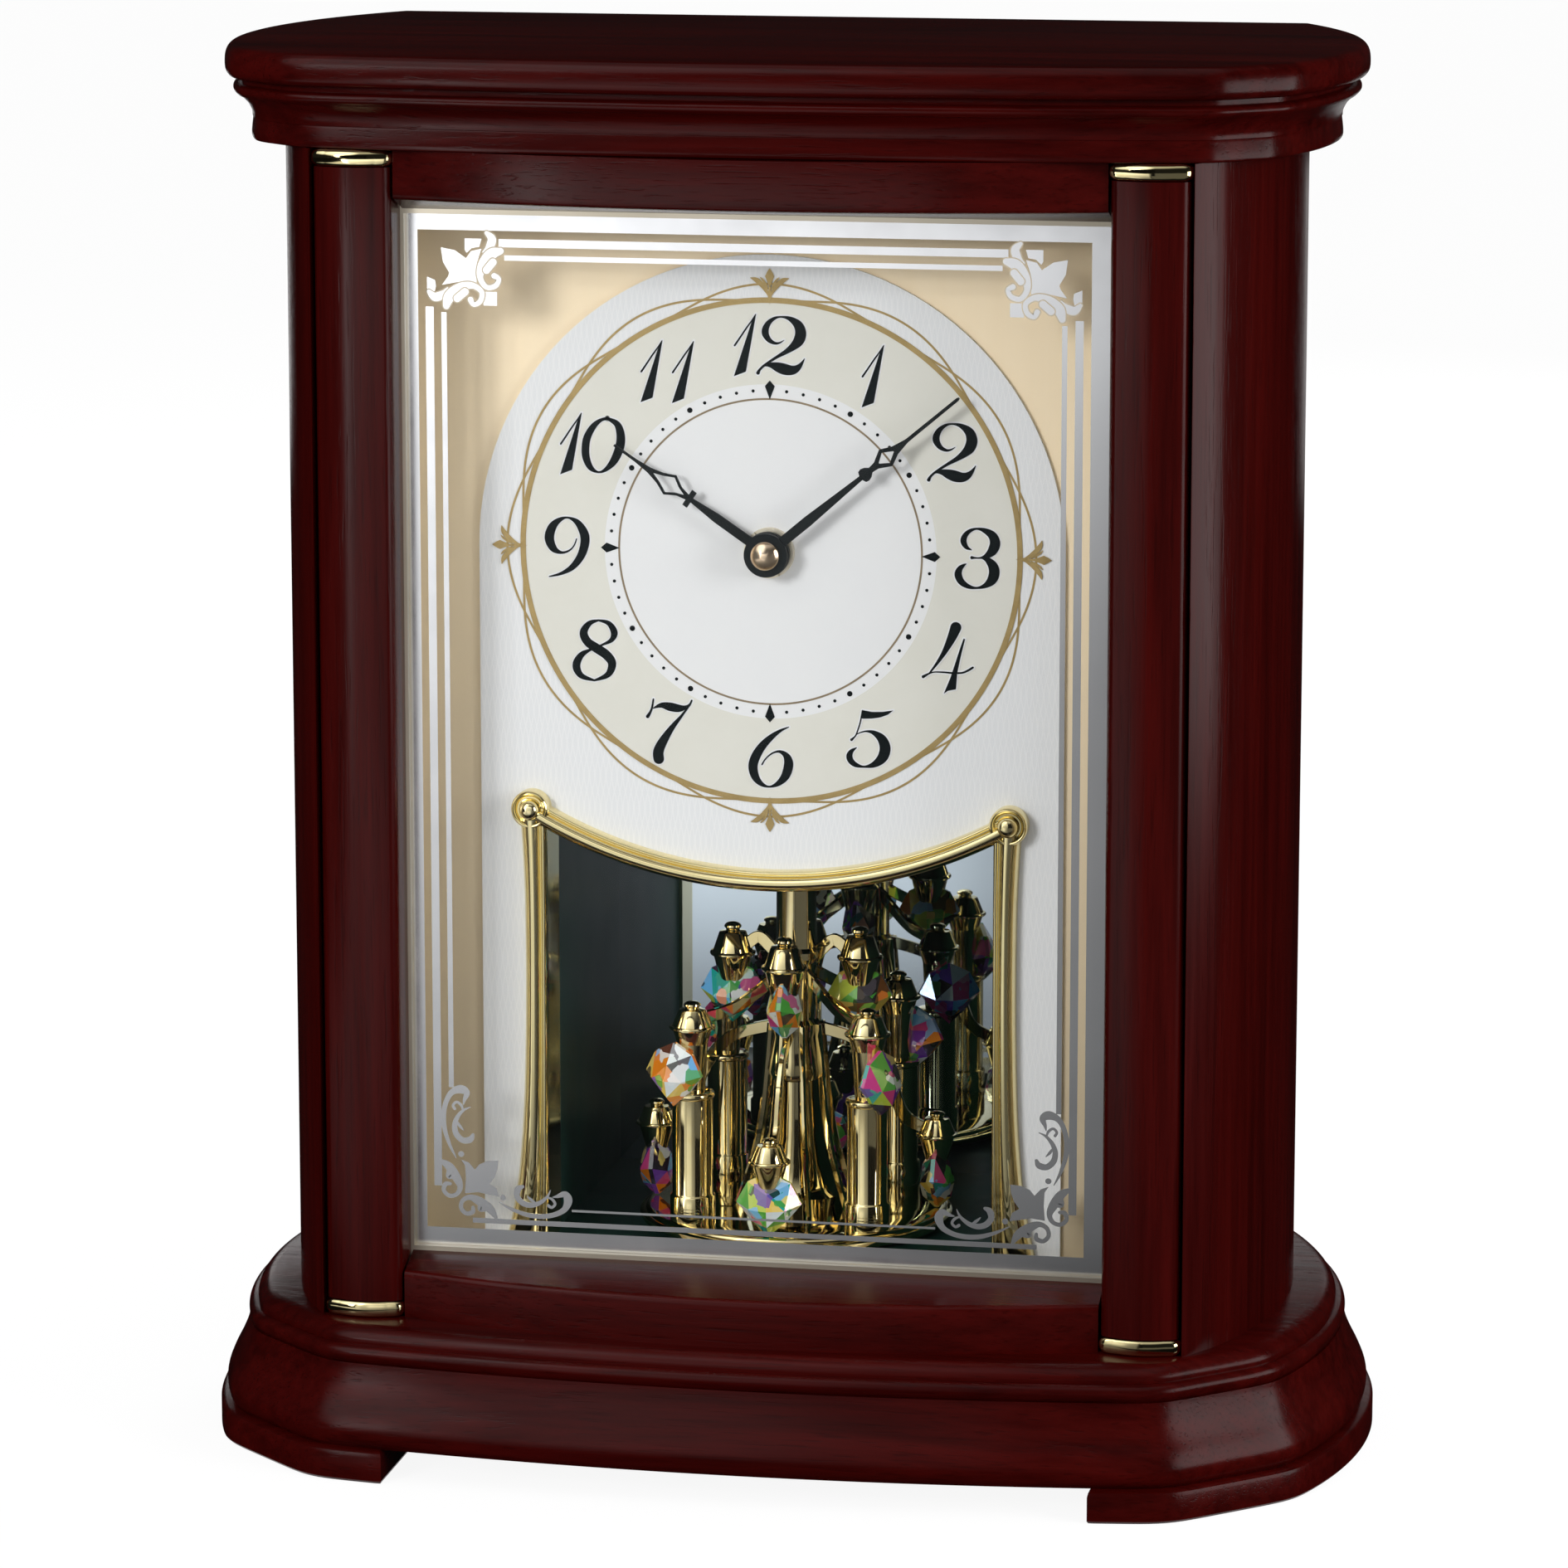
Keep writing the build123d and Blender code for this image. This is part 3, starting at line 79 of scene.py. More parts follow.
# %% [markdown]
# ## Helpers for meshes
# Most pieces of a clock case are a section swept or stacked into a solid, so one helper joins equal rings of
# points with faces. Subdivision modifiers would round these shapes too, but rings keep the mouldings exactly
# where the CAD has them. A second helper turns points and faces into a piece that rides on a body.


# %% Rings, joins and curves
def loft(rings, caps=True):
    """Points and faces between equal closed rings, with both ends closed."""
    points = [point for ring in rings for point in ring]
    count = len(rings[0])
    faces = []
    for level in range(len(rings) - 1):
        start = level * count
        for i in range(count):
            j = (i + 1) % count
            faces.append((start + i, start + j, start + count + j, start + count + i))
    if caps:
        faces.append(tuple(reversed(range(count))))
        faces.append(tuple(range(len(points) - count, len(points))))
    return points, faces


def joined(parts):
    """Several sets of points and faces as one."""
    points, faces = [], []
    for part_points, part_faces in parts:
        start = len(points)
        points += list(part_points)
        faces += [tuple(start + i for i in face) for face in part_faces]
    return points, faces


def curve_through(knots, steps):
    """A smooth line through knots of any dimension (Catmull-Rom)."""
    line = []
    last = len(knots) - 1
    for k in range(last):
        before, here, there, after = (knots[min(max(k + d, 0), last)] for d in (-1, 0, 1, 2))
        for step in range(steps):
            t = step / steps
            line.append(tuple(
                0.5 * (2 * b + (c - a) * t + (2 * a - 5 * b + 4 * c - d) * t * t + (3 * b - a - 3 * c + d) * t ** 3)
                for a, b, c, d in zip(before, here, there, after)))
    line.append(tuple(knots[last]))
    return line


THINNEST = 0.004


def lathe(profile, centre, to_front=False, sides=48):
    """A turned solid: profile of (radius, height) round an axis that points up or to the front."""
    rings = []
    for radius, height in profile:
        ring = []
        for k in range(sides):
            angle = 2 * math.pi * k / sides
            a, b = max(radius, THINNEST) * math.cos(angle), max(radius, THINNEST) * math.sin(angle)
            offset = (a, -height, b) if to_front else (a, b, height)
            ring.append(tuple(c + o for c, o in zip(centre, offset)))
        rings.append(ring)
    return loft(rings)


print("a turned pin has", len(lathe(((1, 0), (1, 5)), (0, 0, 0))[1]), "faces")

# %% Making a piece
MERGE = 1e-8


def piece(name, solid, finish, slot_name, nodes=(), body="case", sharp=38):
    """One named piece from millimetre points and faces: smooth, except at edges sharper than the angle."""
    points, faces = solid
    mesh = bpy.data.meshes.new(name)
    mesh.from_pydata([(x * MM, y * MM, z * MM) for x, y, z in points], [], faces)
    work = bmesh.new()
    work.from_mesh(mesh)
    bmesh.ops.remove_doubles(work, verts=work.verts, dist=MERGE)
    bmesh.ops.recalc_face_normals(work, faces=work.faces)
    work.to_mesh(mesh)
    work.free()
    mesh.polygons.foreach_set("use_smooth", [True] * len(mesh.polygons))
    mesh.set_sharp_from_angle(angle=math.radians(sharp))
    made = bpy.data.objects.new(name, mesh)
    scene.collection.objects.link(made)
    mesh.materials.append(finishes[finish])
    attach(made, body)
    if nodes:
        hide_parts(*nodes)
    print(name, "rides on", body, "and has", len(mesh.polygons), "faces")
    return made


print("mesh helpers:", *(helper.__name__ for helper in (loft, joined, curve_through, lathe, piece)))

# %% [markdown]
# ## Node groups for effects that several finishes share
# Wood pores, polishing marks and the faint mottle of moulded plastic turn up in many materials. Each effect
# could be copied into every material, but a node group is built once and placed with its own values. The
# groups put out only colours, masks and heights; the shaders stay in the materials.


# %% Building node groups
def new_group(name, inputs, outputs):
    """A shader node group with named sockets: (socket name, kind, default)."""
    tree = bpy.data.node_groups.new(name, "ShaderNodeTree")
    for label, kind, value in inputs:
        socket = tree.interface.new_socket(label, in_out="INPUT", socket_type="NodeSocket" + kind)
        socket.default_value = value
    for label, kind in outputs:
        tree.interface.new_socket(label, in_out="OUTPUT", socket_type="NodeSocket" + kind)
    return tree, tree.nodes.new("NodeGroupInput"), tree.nodes.new("NodeGroupOutput")


def add(tree, kind, settings=None, **inputs):
    """A node with settings, whose inputs are set to values or joined to other nodes' outputs."""
    node = tree.nodes.new("ShaderNode" + kind)
    for key, value in (settings or {}).items():
        setattr(node, key, value)
    for key, value in inputs.items():
        socket = node.inputs[int(key[1:])] if key[0] == "i" and key[1:].isdigit() else node.inputs[key]
        if isinstance(value, bpy.types.NodeSocket):
            tree.links.new(value, socket)
        else:
            socket.default_value = value
    return node


def feed(tree, node, **sources):
    """Join other nodes' outputs to a node's inputs."""
    for key, source in sources.items():
        tree.links.new(source, node.inputs[key.replace("_", " ")])


def math_node(tree, operation, first, second=0.0):
    return add(tree, "Math", {"operation": operation}, i0=first, i1=second).outputs[0]


def ranged(tree, value, low, high, at_low, at_high, shape="LINEAR"):
    """A value carried from one range to another."""
    return add(tree, "MapRange", {"interpolation_type": shape}, i0=value, i1=low, i2=high, i3=at_low,
               i4=at_high).outputs[0]


def mixed(tree, factor, first, second):
    """A colour between two colours."""
    node = add(tree, "Mix", {"data_type": "RGBA"})
    for index, value in ((0, factor), (6, first), (7, second)):
        if isinstance(value, bpy.types.NodeSocket):
            tree.links.new(value, node.inputs[index])
        else:
            node.inputs[index].default_value = value
    return node.outputs[2]


print("node helpers:", *(helper.__name__ for helper in (new_group, add, feed, math_node, ranged, mixed)))

# %% Wood grain group
WHITE = (1, 1, 1, 1)
BLACK = (0, 0, 0, 1)


def build_wood_grain():
    tree, given, put = new_group(
        "wood_grain",
        [("Stretch", "Vector", (1, 1, 1)), ("Deep", "Color", BLACK), ("Warm", "Color", WHITE)],
        [("Color", "Color"), ("Roughness", "Float"), ("Height", "Float")])
    place = add(tree, "TexCoord").outputs["Object"]
    run = add(tree, "VectorMath", {"operation": "MULTIPLY"}, i0=place, i1=given.outputs["Stretch"]).outputs[0]
    figure = add(tree, "TexNoise", Vector=run, Scale=0.16, Detail=3.0, Roughness=0.55, Distortion=0.8).outputs[0]
    streak = add(tree, "TexNoise", Vector=run, Scale=1.0, Detail=5.0, Roughness=0.65, Distortion=0.3).outputs[0]
    pore = add(tree, "TexNoise", Vector=run, Scale=4.2, Detail=2.0, Roughness=0.5).outputs[0]
    pit = ranged(tree, pore, 0.30, 0.42, 0.0, 1.0)
    tone = math_node(tree, "ADD", math_node(tree, "MULTIPLY", figure, 0.65), math_node(tree, "MULTIPLY", streak, 0.55))
    shade = ranged(tree, tone, 0.36, 0.82, 0.0, 1.0)
    shade = math_node(tree, "MULTIPLY", shade, math_node(tree, "ADD", math_node(tree, "MULTIPLY", pit, 0.45), 0.55))
    colour = mixed(tree, shade, given.outputs["Deep"], given.outputs["Warm"])
    rough = math_node(tree, "ADD", 0.17, math_node(tree, "MULTIPLY", streak, 0.12))
    height = math_node(tree, "ADD", pit, math_node(tree, "MULTIPLY", streak, 0.4))
    feed(tree, put, Color=colour, Roughness=rough, Height=height)
    return tree


wood_grain = build_wood_grain()
print("group:", wood_grain.name)


# %% Surface marks group
def build_surface_marks():
    tree, given, put = new_group(
        "surface_marks",
        [("Size", "Float", 300.0), ("Roughness low", "Float", 0.1), ("Roughness high", "Float", 0.2),
         ("Tone", "Color", WHITE), ("Second tone", "Color", WHITE)],
        [("Color", "Color"), ("Roughness", "Float"), ("Height", "Float")])
    place = add(tree, "TexCoord").outputs["Object"]
    cloud = add(tree, "TexNoise", Vector=place, Scale=given.outputs["Size"], Detail=3.0, Roughness=0.6).outputs[0]
    fine_size = math_node(tree, "MULTIPLY", given.outputs["Size"], 7.0)
    fine = add(tree, "TexNoise", Vector=place, Scale=fine_size, Detail=2.0).outputs[0]
    patch = ranged(tree, cloud, 0.32, 0.70, 0.0, 1.0)
    colour = mixed(tree, patch, given.outputs["Tone"], given.outputs["Second tone"])
    rough = ranged(tree, patch, 0.0, 1.0, given.outputs["Roughness low"], given.outputs["Roughness high"])
    feed(tree, put, Color=colour, Roughness=rough, Height=fine)
    return tree


surface_marks = build_surface_marks()
print("group:", surface_marks.name)

# %% [markdown]
# ## Finishes
# A finish is one material. The case's wood uses the grain group twice, once with the grain standing up for posts
# and panels, once lying along the case for rails and mouldings. Metals, plastics, inks and paints use the marks
# group with their own tones, so they fit in one table. Numbers that are the same all over a finish are set on
# its shader. The finishes are kept by name, because the imported CAD materials may have the same names.

# %% Helpers for finishes
BUMP_DEPTH = 0.0002
OPAQUE = (1,)
finishes = {}


def new_finish(name, **plain):
    """An empty material's nodes and its Principled shader, with plain values set on the shader's sockets."""
    material = bpy.data.materials.new(name)
    material.use_nodes = True
    shader = material.node_tree.nodes["Principled BSDF"]
    for key, value in plain.items():
        shader.inputs[key.replace("_", " ")].default_value = value
    finishes[name] = material
    return material.node_tree, shader


def place_group(tree, group, **inputs):
    node = tree.nodes.new("ShaderNodeGroup")
    node.node_tree = group
    for key, value in inputs.items():
        node.inputs[key.replace("_", " ")].default_value = value
    return node


def raise_bump(tree, shader, height, strength, depth=BUMP_DEPTH):
    feed(tree, shader, Normal=add(tree, "Bump", Height=height, Strength=strength, Distance=depth).outputs[0])


def wood_finish(name, stretch, deep, warm, specular, bump):
    tree, shader = new_finish(name, Specular_IOR_Level=specular)
    grain = place_group(tree, wood_grain, Stretch=stretch, Deep=deep + OPAQUE, Warm=warm + OPAQUE).outputs
    feed(tree, shader, Base_Color=grain["Color"], Roughness=grain["Roughness"])
    raise_bump(tree, shader, grain["Height"], bump)


def marked_finish(name, tone, second, size, low, high, bump, plain):
    """A metal, paint or plastic: two near tones in soft patches, with its own range of roughness."""
    tree, shader = new_finish(name, **plain)
    marks = place_group(tree, surface_marks, Size=size, Roughness_low=low, Roughness_high=high,
                        Tone=tone + OPAQUE, Second_tone=second + OPAQUE).outputs
    feed(tree, shader, Base_Color=marks["Color"], Roughness=marks["Roughness"])
    if bump:
        raise_bump(tree, shader, marks["Height"], bump)


print("groups for the finishes:", [group.name for group in bpy.data.node_groups])

# %% The finishes
DEEP_RED = (0.013, 0.0003, 0.0002)
WARM_RED = (0.054, 0.0018, 0.0012)
WOODS = (
    # name, stretch of the grain, deep tone, warm tone, specular level, bump
    ("case_wood_upright", (420, 420, 16), DEEP_RED, WARM_RED, 0.15, 0.12),
    ("case_wood_lying", (16, 420, 420), DEEP_RED, WARM_RED, 0.15, 0.12),
    ("back_board", (180, 180, 30), (0.075, 0.030, 0.016), (0.15, 0.066, 0.038), 0.3, 0.2),
)
METAL = {"Metallic": 1.0}
MARKED = (
    # name, tone, second tone, size of the patches, roughness low and high, bump, plain values
    ("polished_gold", (0.90, 0.78, 0.44), (0.86, 0.73, 0.38), 160, 0.05, 0.12, 0.0, METAL),
    ("plated_gold", (0.88, 0.75, 0.42), (0.84, 0.69, 0.35), 220, 0.03, 0.08, 0.0, METAL),
    ("frame_gold", (0.80, 0.73, 0.60), (0.77, 0.70, 0.56), 40, 0.40, 0.46, 0.0, METAL),
    ("cap_bronze", (0.86, 0.68, 0.50), (0.80, 0.61, 0.43), 160, 0.18, 0.24, 0.0, METAL),
    ("dial_ink", (0.002, 0.004, 0.005), (0.004, 0.007, 0.008), 500, 0.45, 0.6, 0.0, {"Specular_IOR_Level": 0.1}),
    ("gold_ink", (0.33, 0.23, 0.085), (0.42, 0.30, 0.12), 260, 0.35, 0.5, 0.0, {"Metallic": 0.35}),
    ("bronze_ink", (0.20, 0.15, 0.09), (0.27, 0.20, 0.12), 260, 0.4, 0.55, 0.0, {}),
    ("cream_print", (0.705, 0.695, 0.625), (0.73, 0.72, 0.655), 90, 0.5, 0.6, 0.0, {}),
    ("dial_centre_white", (0.785, 0.79, 0.80), (0.80, 0.805, 0.81), 80, 0.5, 0.6, 0.0, {}),
    ("hand_black", (0.003, 0.005, 0.006), (0.005, 0.008, 0.009), 300, 0.38, 0.5, 0.05, {"Specular_IOR_Level": 0.2}),
    ("silver_print", (0.74, 0.75, 0.77), (0.79, 0.80, 0.82), 60, 0.16, 0.24, 0.0, METAL),
    ("print_gap", (0.62, 0.53, 0.40), (0.66, 0.57, 0.43), 120, 0.5, 0.6, 0.0, {}),
    ("chamber_gloss", (0.006, 0.025, 0.019), (0.008, 0.029, 0.023), 60, 0.30, 0.36, 0.0,
     {"Specular_IOR_Level": 0.04}),
    ("back_mirror", (0.68, 0.78, 0.88), (0.71, 0.81, 0.90), 40, 0.01, 0.03, 0.0, METAL),
    ("moulded_black", (0.018, 0.018, 0.019), (0.028, 0.028, 0.03), 500, 0.45, 0.6, 0.2, {}),
    ("moulded_white", (0.66, 0.65, 0.60), (0.74, 0.72, 0.67), 400, 0.35, 0.5, 0.1, {}),
    ("works_brass", (0.72, 0.52, 0.22), (0.62, 0.43, 0.17), 300, 0.22, 0.35, 0.1, METAL),
    ("bright_steel", (0.62, 0.62, 0.61), (0.50, 0.50, 0.50), 350, 0.22, 0.38, 0.1, METAL),
    ("cell_jacket", (0.05, 0.05, 0.055), (0.09, 0.09, 0.10), 120, 0.2, 0.3, 0.0, {}),
    ("circuit_green", (0.015, 0.10, 0.035), (0.03, 0.16, 0.06), 500, 0.35, 0.5, 0.2, {}),
    ("coil_copper", (0.60, 0.25, 0.10), (0.45, 0.17, 0.06), 900, 0.25, 0.4, 0.4, METAL),
)
for row in WOODS:
    wood_finish(*row)
for row in MARKED:
    marked_finish(*row)
print("finishes:", len(finishes))

# %% [markdown]
# ## The gold board and the glass
# The board behind the dial is sprayed satin gold, with the faint upright bands of a rolled sheet. Towards its foot
# it carries painted shade, a darker tone in the finish where the ornament's chamber takes the light away; a lamp
# could do that too, but painted shade leaves the pieces in front of it alone. The glass is clear. For shadow rays
# and for scattered light it turns into a plain clear shader, so the lamps reach the dial.

# %% Board and glass
BOARD_BANDS = (260, 1, 4)
BOARD_TONES = ((0.94, 0.765, 0.52, 1), (0.98, 0.82, 0.585, 1))
# painted shade: the tone that the board's foot is darkened towards
BOARD_PAINTED_SHADE = (0.10, 0.075, 0.03, 1)


def build_gold_board():
    tree, shader = new_finish("gold_board", Metallic=0.04, Specular_IOR_Level=0.4)
    place = add(tree, "TexCoord").outputs["Object"]
    band = add(tree, "VectorMath", {"operation": "MULTIPLY"}, i0=place, i1=BOARD_BANDS).outputs[0]
    wave = add(tree, "TexNoise", Vector=band, Scale=1.0, Detail=2.0).outputs[0]
    height = add(tree, "SeparateXYZ", Vector=place).outputs["Z"]
    # painted shade, strongest at the board's foot and gone by 0.20 m up
    foot = ranged(tree, height, 0.08, 0.20, 0.42, 0.0)
    rough = math_node(tree, "ADD", 0.34, math_node(tree, "MULTIPLY", wave, 0.12))
    feed(tree, shader, Base_Color=mixed(tree, foot, mixed(tree, wave, *BOARD_TONES), BOARD_PAINTED_SHADE), Roughness=rough)


def build_clear_glass():
    tree, shader = new_finish("clear_glass", Base_Color=(0.99, 1.0, 0.995, 1), IOR=1.12, Transmission_Weight=1.0)
    marks = place_group(tree, surface_marks, Size=30, Roughness_low=0.0, Roughness_high=0.004)
    feed(tree, shader, Roughness=marks.outputs["Roughness"])
    path = add(tree, "LightPath").outputs
    let_by = math_node(tree, "MAXIMUM", path["Is Shadow Ray"], path["Is Diffuse Ray"])
    clear = add(tree, "BsdfTransparent").outputs[0]
    mix = add(tree, "MixShader", i0=let_by, i1=shader.outputs[0], i2=clear)
    feed(tree, tree.nodes["Material Output"], Surface=mix.outputs[0])


build_gold_board()
build_clear_glass()
print("finishes:", len(finishes))

# %% [markdown]
# ## The dial's engraved net
# The white plate has a fine embossed net of long lozenges that only shows at an angle. It could be modelled as
# grooves, but thousands of them would be lost at this size. Two sine waves that swing against each other draw
# the same net in the material, and it works on colour and bump together: the bump is the relief, and the colour
# is a painted highlight that keeps the net's lines lighter than the field at every angle.

# %% Dial white
NET_WIDTH, NET_HEIGHT, NET_SWING = 0.0024, 0.0135, 1.35


def build_dial_white():
    tree, shader = new_finish("dial_white", Specular_IOR_Level=0.35, Roughness=0.42)
    place = add(tree, "SeparateXYZ", Vector=add(tree, "TexCoord").outputs["Object"]).outputs
    across = math_node(tree, "MULTIPLY", place["X"], 2 * math.pi / NET_WIDTH)
    up = math_node(tree, "MULTIPLY", place["Z"], 2 * math.pi / NET_HEIGHT)
    swing = math_node(tree, "MULTIPLY", math_node(tree, "SINE", up), NET_SWING)
    lines = []
    for operation in ("ADD", "SUBTRACT"):
        wave = math_node(tree, "SINE", math_node(tree, operation, across, swing))
        lines.append(ranged(tree, math_node(tree, "ABSOLUTE", wave), 0.0, 0.45, 1.0, 0.0))
    net = math_node(tree, "MAXIMUM", *lines)
    # painted highlight: the net's lines take the lighter tone, the field the darker one
    feed(tree, shader, Base_Color=mixed(tree, net, (0.775, 0.785, 0.80, 1), (0.83, 0.835, 0.845, 1)))
    raise_bump(tree, shader, net, 0.12, BUMP_DEPTH / 2)


build_dial_white()
print("net of lozenges", NET_WIDTH / MM, "mm wide and", NET_HEIGHT / MM, "mm high")

# %% [markdown]
# ## Cut crystal
# The real drops are clear glass with a thin coating that throws a different colour from every facet. A thin
# film in the shader gives some of that, but facets of one drop differ strongly, so each facet carries its own
# tint as a mesh attribute, partly the coating's colour and partly a painted reflection. The shader breaks the
# tint with sharp shards, a painted reflection of the facets behind as they show through, from white glints to
# near black.

# %% Crystal finish
# painted reflections: shard colours stand in for what the facets behind reflect and let through, white glints and
# near-black ones included
PAINTED_SHARD_REFLECTIONS = ((0.01, 0.22, 0.20), (0.90, 0.95, 0.95), (0.08, 0.42, 0.06), (0.02, 0.015, 0.03), (0.85, 0.24, 0.02),
                 (0.02, 0.02, 0.015), (0.16, 0.05, 0.46), (0.92, 0.76, 0.22), (0.70, 0.06, 0.30), (0.24, 0.55, 0.92))


def build_crystal():
    """Each facet's own tint, partly painted reflection, broken by sharp shards of other colours: a painted reflection
    of what is seen through cut glass.
    """
    tree, shader = new_finish("cut_crystal", IOR=1.55, Transmission_Weight=0.15, Coat_Weight=0.7, Coat_Roughness=0.02,
                              Specular_IOR_Level=0.8)
    place = add(tree, "TexCoord").outputs["Object"]
    cells = add(tree, "TexVoronoi", {"distance": "CHEBYCHEV"}, Vector=place, Scale=330.0).outputs["Color"]
    pick = add(tree, "SeparateColor", Color=cells).outputs
    ramp = add(tree, "ValToRGB", Fac=pick[0])
    ramp.color_ramp.interpolation = "CONSTANT"
    stops = ramp.color_ramp.elements
    while len(stops) < len(PAINTED_SHARD_REFLECTIONS):
        stops.new(len(stops) / len(PAINTED_SHARD_REFLECTIONS))
    for index, (stop, colour) in enumerate(zip(stops, PAINTED_SHARD_REFLECTIONS)):
        stop.position, stop.color = index / len(PAINTED_SHARD_REFLECTIONS), colour + OPAQUE
    tint = add(tree, "Attribute", {"attribute_name": "facet_tint"}).outputs["Color"]
    share = ranged(tree, pick[1], 0.60, 0.61, 0.06, 0.85)
    marks = place_group(tree, surface_marks, Size=300, Roughness_low=0.01, Roughness_high=0.05)
    feed(tree, shader, Base_Color=mixed(tree, share, tint, ramp.outputs[0]), Roughness=marks.outputs["Roughness"])


build_crystal()
print("finishes:", len(finishes))

# %% [markdown]
# ## Give every CAD node its finish
# Nodes whose CAD shape is already right stay in the picture, so each gets the finish of its material slot
# first. Pieces made later hide the nodes that they stand for.

# %% Finishes by slot
FINISH_OF_SLOT = {
    "dark_wood": "case_wood_upright", "back_wood": "back_board", "gold_metal": "polished_gold",
    "gold_board": "gold_board", "dial_white": "dial_white", "clear_glass": "clear_glass", "dark_hand": "hand_black",
    "chamber_black": "chamber_gloss", "mirror_silver": "back_mirror", "gold_plastic": "plated_gold",
    "crystal": "cut_crystal", "black_plastic": "moulded_black", "white_plastic": "moulded_white",
    "brass_works": "works_brass", "steel": "bright_steel", "battery_jacket": "cell_jacket",
    "board_green": "circuit_green", "copper_coil": "coil_copper",
}
SATIN_NODES = ("front_frame", "bushing_nut")
slots = set()
for node_name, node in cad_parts.items():
    imported = node.material_slots[0].material.name.split(".")[0]
    slots.add(imported)
    finish = "frame_gold" if node_name in SATIN_NODES else FINISH_OF_SLOT.get(imported, "moulded_black")
    node.material_slots[0].material = finishes[finish]
print("slots:", sorted(slots))

# %% [markdown]
# ## The case's plan
# Base, cornice and top share one plan: a shallow bow in front, a flat facet at each front corner, bowed sides
# and a straight back. A maker would cut it with one template and different router bits. Here the template is
# a function that gives the same number of points for any reach, so a moulding is a stack of such rings. The
# corners are softened by averaging neighbours, as sanding does.

# %% Plan outline
FACET_NORMAL = (0.68327, -0.73016)
FACET_REACH = 92.506
SIDE_CENTRE = (-4.0, 8.0)
SIDE_RADIUS = 112.0
FRONT_RADIUS = 552.0
BACK_Y = 71.0
FRONT_STEPS, FACET_STEPS, SIDE_STEPS, BACK_STEPS = 96, 16, 76, 40
SOFTENING, SOFT_UP_TO_Y = 9, 40


def facet_meets(reach, centre, radius, side):
    """Where the corner facet meets a round of the plan."""
    along = (-FACET_NORMAL[1], FACET_NORMAL[0])
    px, py = (n * (FACET_REACH + reach) for n in FACET_NORMAL)
    dx, dy = px - centre[0], py - centre[1]
    half = dx * along[0] + dy * along[1]
    root = math.sqrt(half * half - (dx * dx + dy * dy - radius * radius))
    t = -half + side * root
    return px + t * along[0], py + t * along[1]


def plan_outline(reach, apex_y):
    """The case's outline grown by reach, from the front's middle to the right, round the back and home again."""
    bow = FRONT_RADIUS + reach
    bow_centre = (0.0, apex_y + bow)
    fx, fy = facet_meets(reach, bow_centre, bow, -1)
    sx, sy = facet_meets(reach, SIDE_CENTRE, SIDE_RADIUS + reach, 1)
    half = []
    for k in range(FRONT_STEPS // 2):
        angle = math.asin(fx / bow) * k / (FRONT_STEPS / 2)
        half.append((bow * math.sin(angle), bow_centre[1] - bow * math.cos(angle)))
    half += [(fx + (sx - fx) * k / FACET_STEPS, fy + (sy - fy) * k / FACET_STEPS) for k in range(FACET_STEPS)]
    radius = SIDE_RADIUS + reach
    first = math.atan2(sy - SIDE_CENTRE[1], sx - SIDE_CENTRE[0])
    last = math.asin((BACK_Y - SIDE_CENTRE[1]) / radius)
    for k in range(SIDE_STEPS + 1):
        angle = first + (last - first) * k / SIDE_STEPS
        half.append((SIDE_CENTRE[0] + radius * math.cos(angle), SIDE_CENTRE[1] + radius * math.sin(angle)))
    corner_x = half[-1][0]
    half += [(corner_x * (1 - 2 * k / BACK_STEPS), BACK_Y) for k in range(1, BACK_STEPS // 2 + 1)]
    outline = half + [(-x, y) for x, y in reversed(half[1:-1])]
    for _ in range(SOFTENING):
        trios = zip(outline[-1:] + outline[:-1], outline, outline[1:] + outline[:1])
        outline = [trio[1] if trio[1][1] > SOFT_UP_TO_Y else tuple((b + 2 * h + a) / 4 for b, h, a in zip(*trio))
                   for trio in trios]
    return outline


def moulding_rings(stretches, low_z, height, reach, front_y, steps=5):
    """Rings of the plan that follow a profile of (height share, reach share) stretches."""
    rings = []
    for shares in stretches:
        for height_share, reach_share in curve_through(shares, steps):
            out = reach * reach_share
            rings.append([(x, y, low_z + height * height_share) for x, y in plan_outline(out, front_y + reach - out)])
    return rings


print("outline points:", len(plan_outline(0, 0)))

# %% [markdown]
# ## Base, feet, cornice and top board
# The plinth is one solid with an ogee and two beads, the cornice has a cove under a bead, and the top board has
# a rounded edge. Bevel modifiers can't make an ogee, so each profile is drawn as a few points with a smooth
# curve through them, and swept round the plan.

# %% Base plinth
BASE_Z, BODY_Z = 6.8, 31.3
BASE_REACH, BASE_FRONT_Y = 16.2, -71.0
BASE_PROFILE = (
    ((0.0, 0.92), (0.06, 0.985), (0.16, 1.0), (0.27, 0.94), (0.40, 0.84), (0.53, 0.755), (0.64, 0.705),
     (0.70, 0.685)),
    ((0.70, 0.655), (0.735, 0.69), (0.785, 0.70), (0.83, 0.665), (0.85, 0.60)),
    ((0.85, 0.575), (0.90, 0.57), (0.95, 0.52), (0.985, 0.44), (1.0, 0.36)),
)
base_rings = moulding_rings(BASE_PROFILE, BASE_Z, BODY_Z - BASE_Z, BASE_REACH, BASE_FRONT_Y)
cover_low, cover_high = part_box("motor_cover")
RECESS_ROOM, RECESS_DEPTH = 0.3, 3.2
cover_radius = (cover_high.x - cover_low.x) / 2 / MM + RECESS_ROOM
cover_y = (cover_high.y + cover_low.y) / 2 / MM


